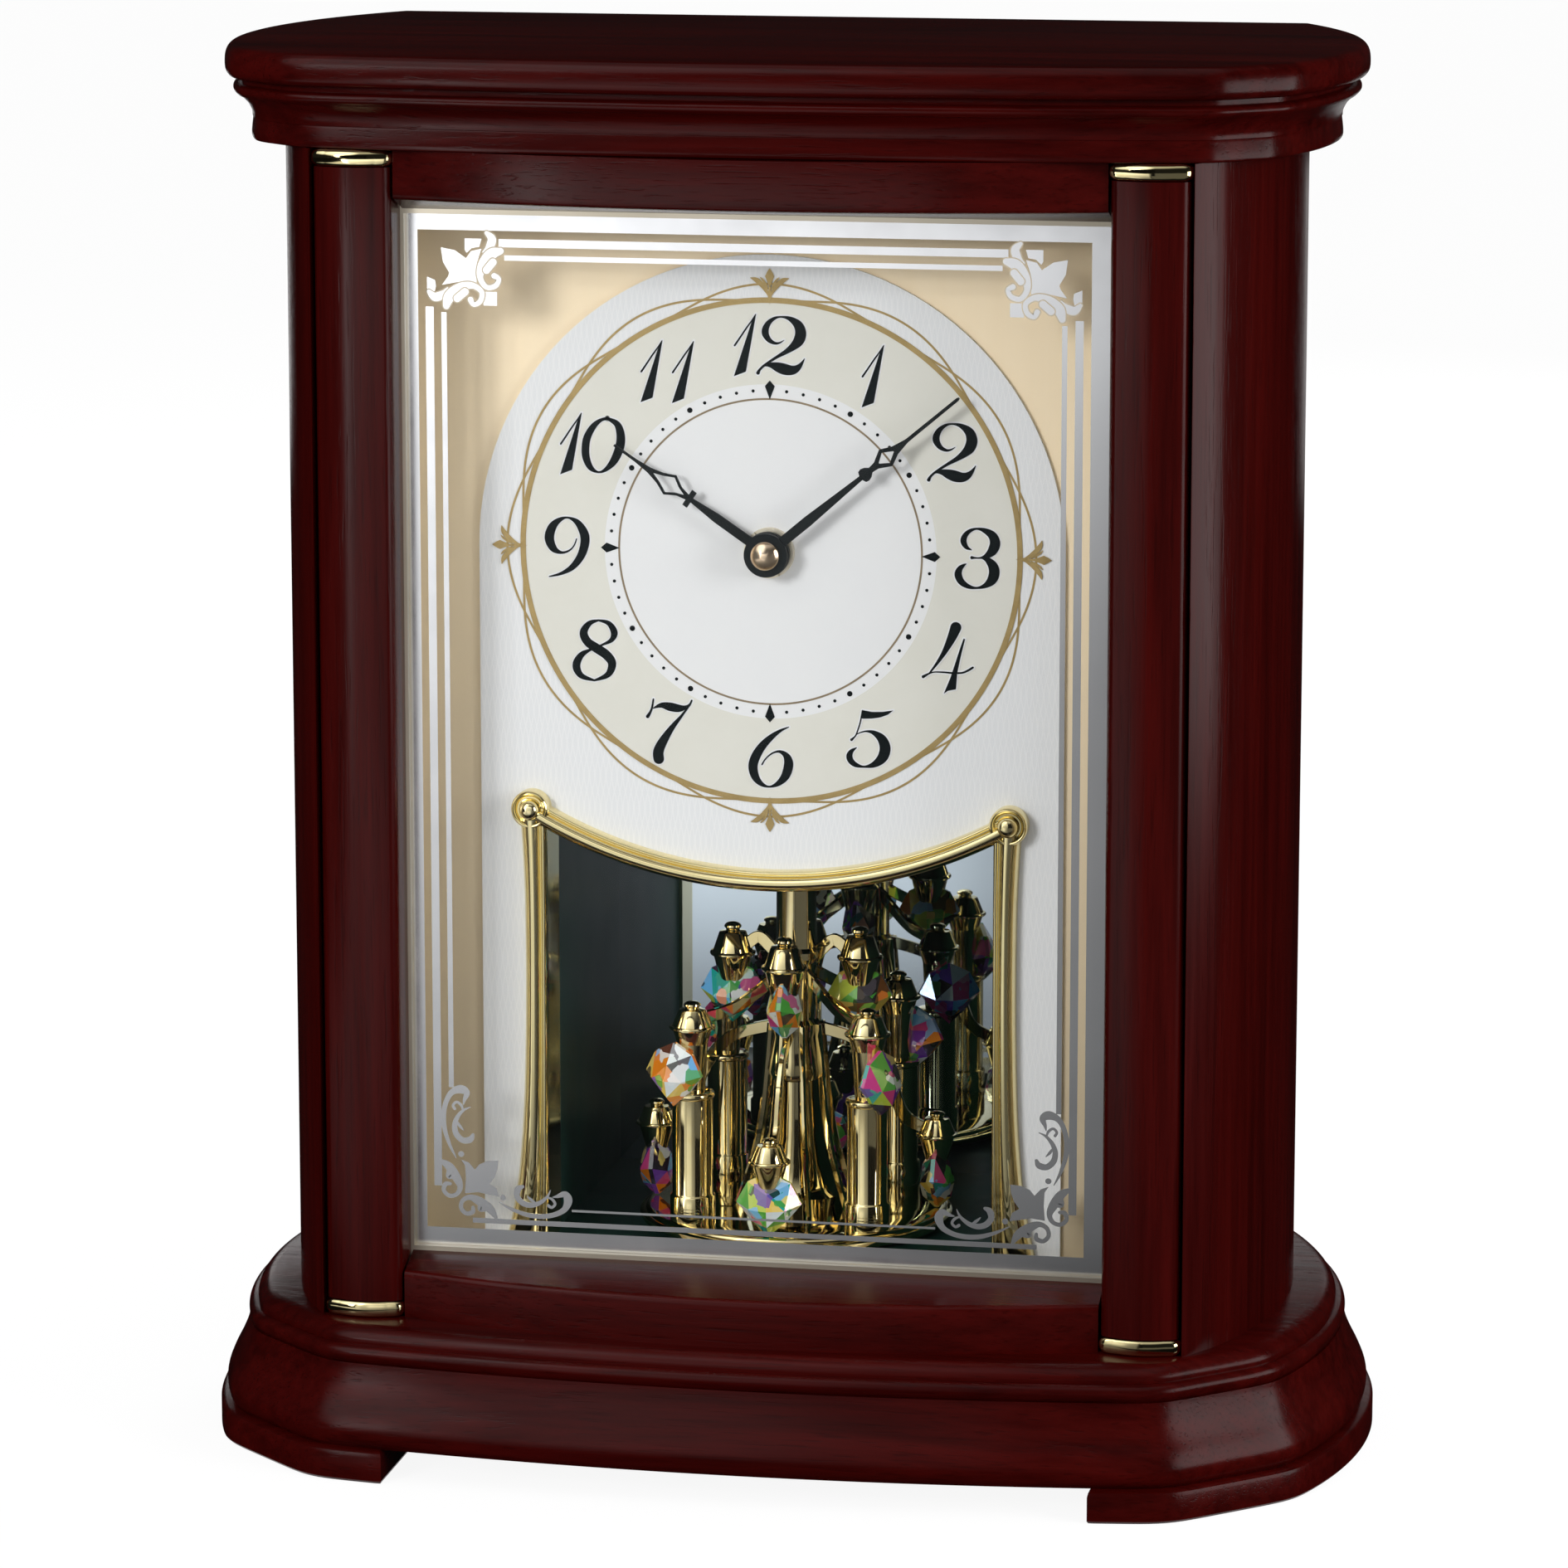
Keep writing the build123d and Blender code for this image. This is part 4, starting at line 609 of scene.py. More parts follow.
def plinth_solid():
    """The swept plinth, closed below with a round recess for the motor's cover."""
    points, faces = loft(base_rings, caps=False)
    count = len(base_rings[0])
    rim = len(points)
    faces.append(tuple(range(rim - count, rim)))
    for z in (BASE_Z, BASE_Z + RECESS_DEPTH):
        for x, y, _ in base_rings[0]:
            angle = math.atan2(y - cover_y, x)
            points.append((cover_radius * math.cos(angle), cover_y + cover_radius * math.sin(angle), z))
    for k in range(count):
        j = (k + 1) % count
        faces.append((k, rim + k, rim + j, j))
        faces.append((rim + k, rim + count + k, rim + count + j, rim + j))
    faces.append(tuple(range(rim + count, rim + 2 * count)))
    return points, faces


piece("plinth", plinth_solid(), "case_wood_lying", "dark_wood", ("base_plinth",))

# %% Feet
FOOT_REACH, FOOT_INNER_X, FOOT_FIRST_X = 17.7, 75.0, 75.8
FOOT_EDGE = ((0.0, -0.5), (0.5, 0.0), (5.6, 0.0), (6.4, -0.35), (6.8, -1.1))
foot_plan = plan_outline(FOOT_REACH, BASE_FRONT_Y + BASE_REACH - FOOT_REACH)
foot_picks = [i for i, (x, _) in enumerate(foot_plan) if x > FOOT_FIRST_X]


def foot_ring(z, grow, side):
    """One level ring of a foot: the part of the plan beyond the foot's inner edge."""
    outline = plan_outline(FOOT_REACH + grow, BASE_FRONT_Y + BASE_REACH - FOOT_REACH - grow)
    right = [outline[i] for i in foot_picks]
    inner = FOOT_INNER_X - grow * 0.5
    ring = [(inner, right[0][1])] + right + [(inner, right[-1][1])]
    return [(side * x, y, z) for x, y in ring]


foot_parts = [loft([foot_ring(z, grow, side) for z, grow in FOOT_EDGE]) for side in (-1, 1)]
piece("feet", joined(foot_parts), "case_wood_lying", "dark_wood", ("foot_boards",))

# %% Cornice and top board
CORNICE_Z, TOP_BOARD_Z, TOP_Z = 279.3, 292.3, 299.0
CORNICE_REACH, TOP_BOARD_REACH, CORNICE_FRONT_Y = 11.0, 12.5, -61.5
CORNICE_PROFILE = (
    ((0.0, 0.40), (0.0, 0.57), (0.05, 0.64), (0.30, 0.615), (0.36, 0.60)),
    ((0.36, 0.625), (0.45, 0.64), (0.58, 0.72), (0.68, 0.83), (0.72, 0.89)),
    ((0.72, 0.91), (0.77, 0.97), (0.82, 0.985), (0.87, 0.96), (0.905, 0.88)),
    ((0.905, 0.82), (1.0, 0.82)),
)
TOP_BOARD_PROFILE = (
    ((0.0, 0.88), (0.08, 0.955), (0.25, 1.0), (0.60, 1.0), (0.82, 0.965), (0.95, 0.90), (1.0, 0.82)),
)
cornice_rings = moulding_rings(CORNICE_PROFILE, CORNICE_Z, TOP_BOARD_Z - CORNICE_Z, CORNICE_REACH,
                               CORNICE_FRONT_Y + TOP_BOARD_REACH - CORNICE_REACH)
piece("cornice", loft(cornice_rings), "case_wood_lying", "dark_wood", ("cornice_moulding",))
top_rings = moulding_rings(TOP_BOARD_PROFILE, TOP_BOARD_Z, TOP_Z - TOP_BOARD_Z, TOP_BOARD_REACH, CORNICE_FRONT_Y)
piece("top", loft(top_rings), "case_wood_lying", "dark_wood", ("top_board",))
print("mouldings:", len(base_rings), "+", len(cornice_rings), "+", len(top_rings), "rings")

# %% [markdown]
# ## Side panels, pillars, bands and rails
# The sides are bowed boards with a canted strip in front. The pillars have a softly bowed face and rounded
# corners, with a polished band at each end. The rails over and under the glass bow forward. All of them are
# one section moved along a line, so the section is drawn once with its small edge rounds.

# %% Side panels
SIDE_THICKNESS, SIDE_BACK_Y = 9.0, 68.0
STRIP_X, STRIP_Y, TURN_Y, FRONT_PLANE_Y = 91.8, -48.8, -40.5, -40.0


def even_steps(first, last, steps):
    return [first + (last - first) * k / steps for k in range(steps + 1)]


def bow_x(y, grow=0.0):
    return SIDE_CENTRE[0] + math.sqrt((SIDE_RADIUS + grow) ** 2 - (y - SIDE_CENTRE[1]) ** 2)


def side_section():
    """Level section of the right panel, from the strip's inner corner round the outside and back inside."""
    edge = [(STRIP_X, STRIP_Y + 0.5), (STRIP_X + 0.15, STRIP_Y + 0.12), (STRIP_X + 0.5, STRIP_Y + 0.35)]
    turn_x = bow_x(TURN_Y)
    edge += [(turn_x - 0.9, TURN_Y - 1.3), (turn_x - 0.25, TURN_Y - 0.3), (bow_x(TURN_Y + 1.2), TURN_Y + 1.2)]
    edge += [(bow_x(y), y) for y in even_steps(TURN_Y + 3, SIDE_BACK_Y, 48)]
    edge += [(bow_x(y, -SIDE_THICKNESS), y) for y in even_steps(SIDE_BACK_Y, FRONT_PLANE_Y + 4, 20)]
    return edge + [(STRIP_X, FRONT_PLANE_Y)]


for side, name in ((1, "right_side"), (-1, "left_side")):
    rings = [[(side * x, y, z) for x, y in side_section()] for z in (BODY_Z, CORNICE_Z)]
    piece(name, loft(rings), "case_wood_upright", "dark_wood", (name + "_panel",), sharp=30)

# %% Pillars and bands
PILLAR_X, PILLAR_HALF, PILLAR_FRONT_Y, PILLAR_BOW, PILLAR_ROUND = 83.0, 8.2, -50.5, 2.4, 2.6
ROUND_SHARE, FACE_SHARE = 0.86, 0.93
BAND_HEIGHT = 3.7
BAND_EDGE = ((0.0, -0.9), (0.04, -0.25), (0.14, 0.2), (0.30, 0.46), (0.5, 0.5), (0.70, 0.46), (0.86, 0.2),
             (0.96, -0.25), (1.0, -0.9))


def pillar_section(grow):
    """Level section of a pillar: flat back, rounded corners and a bowed face."""
    half, corner = PILLAR_HALF + grow, PILLAR_ROUND
    face_y = PILLAR_FRONT_Y - grow
    shoulder_y = face_y + PILLAR_BOW * ((half - corner) / PILLAR_HALF) ** 2
    section = [(-half, FRONT_PLANE_Y), (-half, shoulder_y + corner)]
    for k in range(1, 8):
        angle = math.pi + k * (math.pi / 2) / 8 * ROUND_SHARE
        section.append((-half + corner + corner * math.cos(angle), shoulder_y + corner + corner * math.sin(angle)))
    mirrored = [(-x, y) for x, y in reversed(section)]
    flat = (half - corner) * FACE_SHARE
    return section + [(x, face_y + PILLAR_BOW * (x / PILLAR_HALF) ** 2) for x in even_steps(-flat, flat, 22)] + mirrored


band_parts = []
for side, name in ((1, "right_pillar"), (-1, "left_pillar")):
    shaft = [[(side * PILLAR_X + x, y, z) for x, y in pillar_section(0)]
             for z in (BODY_Z + BAND_HEIGHT, CORNICE_Z - BAND_HEIGHT)]
    piece(name + "_shaft", loft(shaft), "case_wood_upright", "dark_wood", (name,), sharp=30)
    for low in (BODY_Z, CORNICE_Z - BAND_HEIGHT):
        band_parts.append(loft([[(side * PILLAR_X + x, y, low + share * BAND_HEIGHT)
                                 for x, y in pillar_section(grow)] for share, grow in BAND_EDGE]))
piece("bands", joined(band_parts), "polished_gold", "gold_metal", ("pillar_bands",), sharp=30)

# %% Rails
RAIL_HALF, RAIL_END_Y, RAIL_APEX_Y = 74.3, -48.0, -59.3
RAIL_BEVEL = 2.6
LOW_RAIL_Z, HIGH_RAIL_Z = 44.0, 266.4


def rail(back_z, far_z):
    """A bowed rail: a bevelled edge next to the glass, from back to front, and a plain far edge."""
    step = 1 if far_z > back_z else -1
    front_z = back_z + step * RAIL_BEVEL
    rings = []
    for x in even_steps(-RAIL_HALF, RAIL_HALF, 48):
        y = RAIL_APEX_Y + (RAIL_END_Y - RAIL_APEX_Y) * (x / RAIL_HALF) ** 2
        edge = [(x, y + back, front_z + step * away)
                for back, away in ((1.3, -0.15), (0.45, 0.1), (0.1, 0.55), (0.0, 1.3))]
        rings.append([(x, FRONT_PLANE_Y, back_z)] + edge + [(x, y, far_z), (x, FRONT_PLANE_Y, far_z)])
    return loft(rings)


piece("lower_rail", rail(LOW_RAIL_Z, BODY_Z), "case_wood_lying", "dark_wood", ("bottom_rail",))
piece("upper_rail", rail(HIGH_RAIL_Z, CORNICE_Z), "case_wood_lying", "dark_wood", ("top_rail",))

# %% [markdown]
# ## Printing on the dial and on the glass
# Numerals, rings and corner scrolls are printed ink a few hundredths of a millimetre thick. Blender's text
# objects would need a typeface, so the figures are drawn as pen strokes: a line with a width at each point.
# A stroke becomes a thin closed ribbon with rounded ends, and blades and leaves become thin flat plates. Faces
# in one plane would flicker where strokes cross, so each stroke lies a few thousandths in front of the last. The
# same strokes, drawn wider in white underneath, give the figures the light edge that sets them off the ring.

# %% Strokes and plates
DIAL_Z = 194.0
DIAL_FACE_Y = -23.0
GLASS_FACE_Y = -38.0
INK = 0.06
LAYER = 0.006


def plate(outline, y):
    """A thin flat plate that faces the front."""
    return loft([[(x, depth, z) for x, z in outline] for depth in (y, y - INK)])


def across_line(line):
    """The direction square to a flat line, at each of its points."""
    for k in range(len(line)):
        a, b = line[max(k - 1, 0)], line[min(k + 1, len(line) - 1)]
        length = math.hypot(b[0] - a[0], b[1] - a[1]) or 1.0
        yield -(b[1] - a[1]) / length, (b[0] - a[0]) / length


def stroke(knots, y, steps=5):
    """A pen stroke of (x, z, width) knots as a thin ribbon with rounded ends."""
    line = curve_through(knots, steps)
    ends = []
    for tip, inner in ((line[0], line[1]), (line[-1], line[-2])):
        length = math.hypot(tip[0] - inner[0], tip[1] - inner[1]) or 1.0
        dx, dz = (tip[0] - inner[0]) / length, (tip[1] - inner[1]) / length
        ends.append([(tip[0] + dx * tip[2] * a, tip[1] + dz * tip[2] * a, tip[2] * b)
                     for a, b in ((0.48, 0.25), (0.36, 0.68), (0.18, 0.93))])
    line = ends[0] + line + ends[1][::-1]
    rings = []
    for (x, z, width), (nx, nz) in zip(line, across_line(line)):
        nx, nz = nx * width / 2, nz * width / 2
        rings.append([(x + nx, y, z + nz), (x - nx, y, z - nz), (x - nx, y - INK, z - nz), (x + nx, y - INK, z + nz)])
    return loft(rings)


def ring_line(radius_at, width, y, start=0.0, end=360.0, steps=180, thickness=INK):
    """A line of even width round the dial's centre, whose radius may change with the angle."""
    rings = []
    whole = end - start >= 360
    for k in range(steps + (0 if whole else 1)):
        turn = math.radians(start + (end - start) * k / steps)
        radius = radius_at(math.degrees(turn)) if callable(radius_at) else radius_at
        inner, outer = radius - width / 2, radius + width / 2
        rings.append([(reach * math.sin(turn), depth, DIAL_Z + reach * math.cos(turn)) for reach, depth in (
            (inner, y), (outer, y), (outer, y - thickness), (inner, y - thickness))])
    return loft(rings + [rings[0]], caps=False) if whole else loft(rings)


def disc(x, z, radius, y, sides=20):
    turns = [2 * math.pi * k / sides for k in range(sides)]
    return plate([(x + radius * math.cos(turn), z + radius * math.sin(turn)) for turn in turns], y)


print("ink", INK, "mm thick, layers", LAYER, "mm apart")

# %% Figures drawn with a pen
FIGURES = {
    "0": ((), (((0.93, 5.71, 0.54), (3.02, 4.57, 1.35), (3.79, 2.27, 1.78), (3.57, -0.31, 1.91), (2.36, -3.14, 1.63),
                (0.6, -5.08, 0.87), (-1.06, -5.71, 0.43), (-2.71, -4.78, 1.2), (-3.63, -2.76, 1.57),
                (-3.79, -0.72, 1.63), (-3.37, 1.66, 1.57), (-2.05, 3.95, 1.26), (-0.5, 5.28, 0.74),
                (0.93, 5.71, 0.54)),)),
    "1": ((((2.37, 6.6), (1.4, 4.8), (-2.37, -6.6), (0.19, -5.56)),),
          (((2.26, 6.47, 0.19), (1.4, 5.09, 0.27), (0.32, 3.58, 0.33), (-1.05, 1.55, 0.35), (-2.19, -0.13, 0.38)),)),
    "2": ((), (((0.58, 1.04, 0.11), (-0.42, 0.47, 0.38), (-1.46, 0.42, 0.65), (-2.72, 1.17, 1.09), (-3.43, 2.7, 1.47),
                (-2.81, 4.45, 1.12), (-1.43, 5.59, 0.63), (0.06, 5.92, 0.38), (1.85, 5.55, 0.98), (3.5, 4.37, 1.91),
                (4.12, 2.67, 2.32), (3.68, 1.04, 2.25), (2.6, -0.16, 1.61), (1.05, -1.32, 1.01), (-0.77, -2.4, 0.65),
                (-2.42, -3.47, 0.52), (-3.8, -4.47, 0.49), (-4.62, -5.3, 0.52), (-4.93, -5.92, 0.76)),
               ((-4.0, -4.48, 0.25), (-3.11, -4.21, 0.63), (-2.01, -4.24, 1.23), (-0.77, -4.59, 2.02),
                (0.61, -4.99, 2.35), (1.98, -5.2, 2.05), (3.09, -4.92, 1.58), (3.94, -4.22, 0.96),
                (4.54, -3.4, 0.46), (4.93, -2.73, 0.14)))),
    "3": ((), (((-1.07, 1.73, 0.15), (-2.17, 2.31, 0.89), (-2.79, 3.6, 1.29), (-2.29, 4.97, 1.04), (-1.17, 5.89, 0.69),
                (0.2, 6.23, 0.45), (1.82, 5.83, 1.12), (3.32, 4.84, 1.84), (3.87, 3.3, 2.18), (3.32, 1.68, 1.99),
                (2.07, 0.54, 1.09), (0.83, 0.13, 0.4), (-0.3, 0.1, 0.35), (-1.0, 0.13, 0.69)),
               ((1.08, 0.16, 0.3), (2.32, -0.27, 1.24), (3.44, -1.52, 2.04), (3.74, -2.99, 2.23), (3.2, -4.53, 1.99),
                (1.82, -5.71, 1.04), (0.08, -6.23, 0.45), (-1.67, -5.98, 0.94), (-3.17, -5.04, 1.39),
                (-3.87, -3.58, 1.54), (-3.54, -2.34, 1.19), (-2.79, -1.58, 0.65), (-2.19, -1.21, 0.15)))),
    "4": ((((3.58, 4.47), (3.25, 4.56), (2.5, 2.36), (1.63, -0.38), (0.5, -3.87), (-0.87, -7.24), (0.0, -6.6),
            (1.7, -6.22), (1.95, -2.83), (2.63, 0.52)),),
          (((1.63, 6.9, 2.33), (0.8, 4.78, 1.89), (-0.75, 1.64, 1.09), (-2.37, -0.88, 0.6), (-3.8, -2.82, 0.35)),
           ((-5.25, -3.78, 0.65), (-4.25, -3.18, 0.4), (-3.0, -2.72, 0.27), (-1.0, -2.68, 0.35), (1.0, -2.79, 0.4),
            (3.0, -2.68, 0.4), (4.25, -2.14, 0.45), (5.25, -1.5, 0.45)))),
    "5": ((((-1.96, 5.98), (-2.07, 4.25), (-1.89, 4.14), (0.09, 4.21), (1.92, 4.54), (3.52, 5.18), (4.66, 6.11),
            (2.38, 5.72), (0.09, 5.65)),),
          (((-1.94, 5.85, 0.23), (-2.37, 3.34, 0.29), (-3.22, 0.73, 0.29), (-3.74, 0.03, 0.36), (-4.22, -0.43, 0.59)),
           ((-3.22, 0.73, 0.2), (-2.19, 1.21, 0.27), (-0.93, 1.48, 0.41), (0.66, 1.15, 1.04), (2.26, -0.1, 1.95),
            (2.95, -1.98, 2.31), (2.38, -4.02, 2.16), (0.66, -5.54, 1.32), (-1.5, -6.11, 0.45), (-3.33, -5.75, 1.02),
            (-4.36, -4.93, 1.27), (-4.66, -3.93, 1.32), (-4.24, -2.91, 0.91), (-3.17, -2.1, 0.18)))),
    "6": ((), (((3.83, 6.46, 0.18), (2.14, 5.68, 0.59), (0.3, 4.36, 1.13), (-1.65, 2.44, 1.63), (-3.14, 0.14, 1.93),
                (-3.83, -2.14, 1.97), (-3.37, -4.38, 1.7), (-2.11, -5.87, 1.04), (-0.39, -6.46, 0.41),
                (1.45, -5.79, 1.04), (3.05, -4.15, 1.77), (3.79, -1.87, 2.0), (3.63, -0.3, 1.68), (2.82, 0.75, 1.04),
                (1.56, 1.16, 0.5), (0.07, 0.59, 0.32), (-1.19, -0.58, 0.27), (-1.88, -1.74, 0.32)),)),
    "7": ((), (((-4.75, 2.8, 0.73), (-3.9, 4.38, 0.44), (-3.49, 6.57, 0.33)),
               ((-3.49, 4.65, 0.22), (-1.75, 5.32, 1.1), (0.1, 5.06, 1.83), (1.94, 4.79, 1.61), (3.42, 5.06, 0.81),
                (4.38, 5.74, 0.44), (4.75, 6.55, 0.37)),
               ((4.42, 5.67, 0.33), (2.68, 3.34, 0.55), (0.46, 0.55, 1.17), (-1.46, -2.41, 1.9), (-2.45, -4.61, 2.23),
                (-2.38, -6.2, 2.27)))),
    "8": ((), (((0.73, 6.45, 0.4), (-1.24, 5.73, 1.1), (-2.5, 3.77, 1.68), (-1.69, 1.81, 1.83), (0.24, 0.49, 1.98),
                (2.39, -0.89, 1.98), (3.62, -2.74, 1.76), (2.69, -5.12, 1.25), (-0.2, -6.45, 0.4)),
               ((0.73, 6.45, 0.4), (2.95, 5.86, 1.03), (4.1, 3.98, 1.47), (3.51, 2.33, 0.95), (1.58, 1.26, 0.44),
                (-0.57, 0.32, 0.4), (-2.99, -1.06, 1.25), (-4.1, -3.35, 1.68), (-3.1, -5.49, 1.25),
                (-0.2, -6.45, 0.4)))),
    "9": ((), (((2.05, 1.85, 0.22), (1.49, 0.39, 0.26), (0.37, -0.73, 0.37), (-1.3, -1.14, 0.62), (-2.97, -0.29, 1.54),
                (-3.83, 1.87, 2.01), (-3.16, 4.25, 1.76), (-1.67, 5.74, 1.03), (0.19, 6.33, 0.4), (2.23, 5.38, 1.25),
                (3.64, 3.17, 1.9), (3.83, 1.0, 1.9), (2.97, -1.75, 1.65), (1.12, -4.16, 1.25), (-1.3, -5.61, 0.66),
                (-3.83, -6.33, 0.26)),)),
}
FIGURE_PLACES = (
    ("1", -5.26, 43.51), ("2", 2.44, 43.66), ("1", 21.82, 37.61), ("2", 38.61, 22.13), ("3", 43.85, -0.01),
    ("4", 37.93, -21.6), ("5", 21.69, -38.86), ("6", 0.2, -43.51), ("7", -21.55, -38.62), ("8", -37.54, -22.0),
    ("9", -43.5, -0.18), ("1", -42.53, 21.88), ("0", -35.64, 21.68), ("1", -25.18, 37.56), ("1", -18.47, 37.54),
)
FIGURE_Y = DIAL_FACE_Y - 0.13
FIGURE_EDGE = 0.6


def figure_parts(figure, x, z, y, grow=0.0):
    """Blades and strokes of one figure, each on a layer of its own; grow adds to every width."""
    blades, strokes = FIGURES[figure]
    parts = []
    for blade in blades:
        outline = [(x + a, DIAL_Z + z + b) for a, b in blade]
        parts.append(plate(outline, y - LAYER * len(parts)))
        if grow:
            for a, b in zip(outline, outline[1:] + outline[:1]):
                parts.append(stroke((a + (grow,), b + (grow,)), y - LAYER * len(parts), 1))
    for knots in strokes:
        parts.append(stroke([(x + a, DIAL_Z + z + b, w + grow) for a, b, w in knots], y - LAYER * len(parts)))
    return parts


figure_edges = [part for figure, x, z in FIGURE_PLACES
                for part in figure_parts(figure, x, z, DIAL_FACE_Y, FIGURE_EDGE)]
piece("figure_edges", joined(figure_edges), "dial_centre_white", "dial_white")
figure_solids = [part for figure, x, z in FIGURE_PLACES for part in figure_parts(figure, x, z, FIGURE_Y)]
piece("dial_figures", joined(figure_solids), "dial_ink", "dark_hand")

# %% Chapter ring and gold lines
RING_INNER, RING_OUTER = 35.4, 53.0
NUT_HOLE = 2.4
piece("chapter_ring", ring_line((RING_INNER + RING_OUTER) / 2, RING_OUTER - RING_INNER, DIAL_FACE_Y, thickness=0.03),
      "cream_print", "dial_white")
piece("dial_middle", ring_line((RING_INNER + NUT_HOLE) / 2, RING_INNER - NUT_HOLE, DIAL_FACE_Y, thickness=0.02),
      "dial_centre_white", "dial_white")
PETAL_HALF, PETAL_RISE, PETAL_WIDTH, PETAL_FOOT = 23, 3.1, 0.46, 0.3
GOLD_LINE_WIDTH = 1.15


def petal_line(peak, y):
    """A thin line that swings out from the gold ring and back, round a middle angle."""
    def radius_at(turn):
        swing = max(math.cos(math.pi / 2 * (turn - peak) / PETAL_HALF), 0.0)
        return RING_OUTER + PETAL_FOOT + PETAL_RISE * swing ** 1.3
    return ring_line(radius_at, PETAL_WIDTH, y, peak - PETAL_HALF, peak + PETAL_HALF, 40)


gold_parts = [ring_line(RING_OUTER, GOLD_LINE_WIDTH, DIAL_FACE_Y - 0.1)]
gold_parts += [petal_line(30 * k, DIAL_FACE_Y - LAYER * k) for k in range(12)]
FLEUR_TOP, FLEUR_FOOT = (0.0, 59.7), (0.0, 52.1)
FLEUR_SIDE = ((0.55, 58.9), (0.98, 58.0), (0.55, 57.0), (0.2, 56.0), (0.22, 55.2), (0.5, 54.2), (0.25, 53.2))
FLEUR_HEART = (FLEUR_TOP,) + FLEUR_SIDE + (FLEUR_FOOT,) + tuple((-x, z) for x, z in reversed(FLEUR_SIDE))
FLEUR_PETAL = ((0.2, 53.9, 0.3), (0.75, 55.0, 0.75), (1.65, 56.2, 1.05), (2.85, 57.2, 1.0), (4.0, 57.6, 0.2))
FLEUR_TAIL = ((0.35, 55.4, 0.25), (1.0, 56.6, 0.45), (1.55, 57.35, 0.4), (2.0, 57.75, 0.15))


def turned_out(points, quarter):
    """Points drawn above the dial's centre, turned to one of the four quarters."""
    s, c = math.sin(quarter * math.pi / 2), math.cos(quarter * math.pi / 2)
    return [(x * c + z * s, DIAL_Z - x * s + z * c) + tuple(rest) for x, z, *rest in points]


FLEUR_Y = DIAL_FACE_Y - 0.18
for quarter in range(4):
    fleur = [plate(turned_out(FLEUR_HEART, quarter), FLEUR_Y)]
    for flip in (1, -1):
        for knots in (FLEUR_PETAL, FLEUR_TAIL):
            mirrored = [(flip * x, z, w) for x, z, w in knots]
            fleur.append(stroke(turned_out(mirrored, quarter), FLEUR_Y - LAYER * len(fleur)))
    gold_parts += fleur
piece("dial_gold_lines", joined(gold_parts), "gold_ink", "gold_metal")

# %% Minute marks
INNER_LINE, INNER_LINE_WIDTH = 32.3, 0.4
MINUTE_RING, MINUTE_DOT, HOUR_DOT = 34.1, 0.34, 0.58
LOZENGE = ((0.0, 36.2), (1.05, 35.0), (0.0, 32.2), (-1.05, 35.0))
MARK_Y = DIAL_FACE_Y - 0.02
piece("dial_inner_line", ring_line(INNER_LINE, INNER_LINE_WIDTH, MARK_Y), "bronze_ink", "gold_metal")
minute_parts = []
for minute in range(60):
    if minute % 15:
        turn = math.radians(6 * minute)
        minute_parts.append(disc(MINUTE_RING * math.sin(turn), DIAL_Z + MINUTE_RING * math.cos(turn),
                                 MINUTE_DOT if minute % 5 else HOUR_DOT, MARK_Y))
minute_parts += [plate(turned_out(LOZENGE, quarter), DIAL_FACE_Y - 0.05) for quarter in range(4)]
piece("minute_marks", joined(minute_parts), "dial_ink", "dark_hand")

# %% [markdown]
# ## The silver print on the glass
# A band round the edge, two thin lines inside it, a leaf at each upper corner and a leaf with scrolls at each
# lower one, all screen printed. The scrolls of a corner are mirror images about its diagonal, so only half is
# drawn and the other half is the same strokes with the two directions changed over. In the upper corners a
# wider stroke in the board's tone lies under each scroll, for the thin gaps that the screen leaves between them.

# %% Bands and stripes
OPENING_HALF, OPENING_LOW, OPENING_HIGH = 74.0, 45.05, 265.35
PRINT_MIDDLE, PRINT_HALF = -0.95, 73.1
PRINT_Y = GLASS_FACE_Y - 0.01
BAND_INNER, BAND_FOOT, BAND_HEAD = 70.65, 3.75, 3.45
HEAD_SHIFT, FOOT_SHIFT_NEAR, FOOT_SHIFT_FAR = 1.1, 0.95, 0.35


def bar(x_low, x_high, z_low, z_high):
    return plate([(x_low, z_low), (x_high, z_low), (x_high, z_high), (x_low, z_high)], PRINT_Y)


band_left, band_right = PRINT_MIDDLE - BAND_INNER, PRINT_MIDDLE + BAND_INNER
print_parts = [
    bar(-OPENING_HALF, band_left, OPENING_LOW, OPENING_HIGH),
    bar(band_right, OPENING_HALF, OPENING_LOW, OPENING_HIGH),
    bar(band_left, band_right, OPENING_LOW, OPENING_LOW + BAND_FOOT),
    bar(band_left, band_right, OPENING_HIGH - BAND_HEAD, OPENING_HIGH),
]
LINES = (
    # near and far edge, then where the line starts from the corner: upper line, lower line, side's top, side's foot
    (4.05, 5.75, 19.7, 12.4, 19.5, 12.8),
    (7.4, 8.5, 20.9, 34.0, 20.6, 34.4),
)
for near, far, top_start, low_start, side_top, side_low in LINES:
    for side in (-1, 1):
        edges = sorted(PRINT_MIDDLE + side * (PRINT_HALF - edge) for edge in (near, far))
        print_parts.append(bar(*edges, OPENING_LOW + side_low, OPENING_HIGH - side_top))
    print_parts.append(bar(PRINT_MIDDLE - PRINT_HALF + top_start, PRINT_MIDDLE + PRINT_HALF - top_start,
                           OPENING_HIGH - far - HEAD_SHIFT, OPENING_HIGH - near - HEAD_SHIFT))
    print_parts.append(bar(PRINT_MIDDLE - PRINT_HALF + low_start, PRINT_MIDDLE + PRINT_HALF - low_start,
                           OPENING_LOW + near + FOOT_SHIFT_NEAR, OPENING_LOW + far + FOOT_SHIFT_FAR))
print("bars:", len(print_parts))

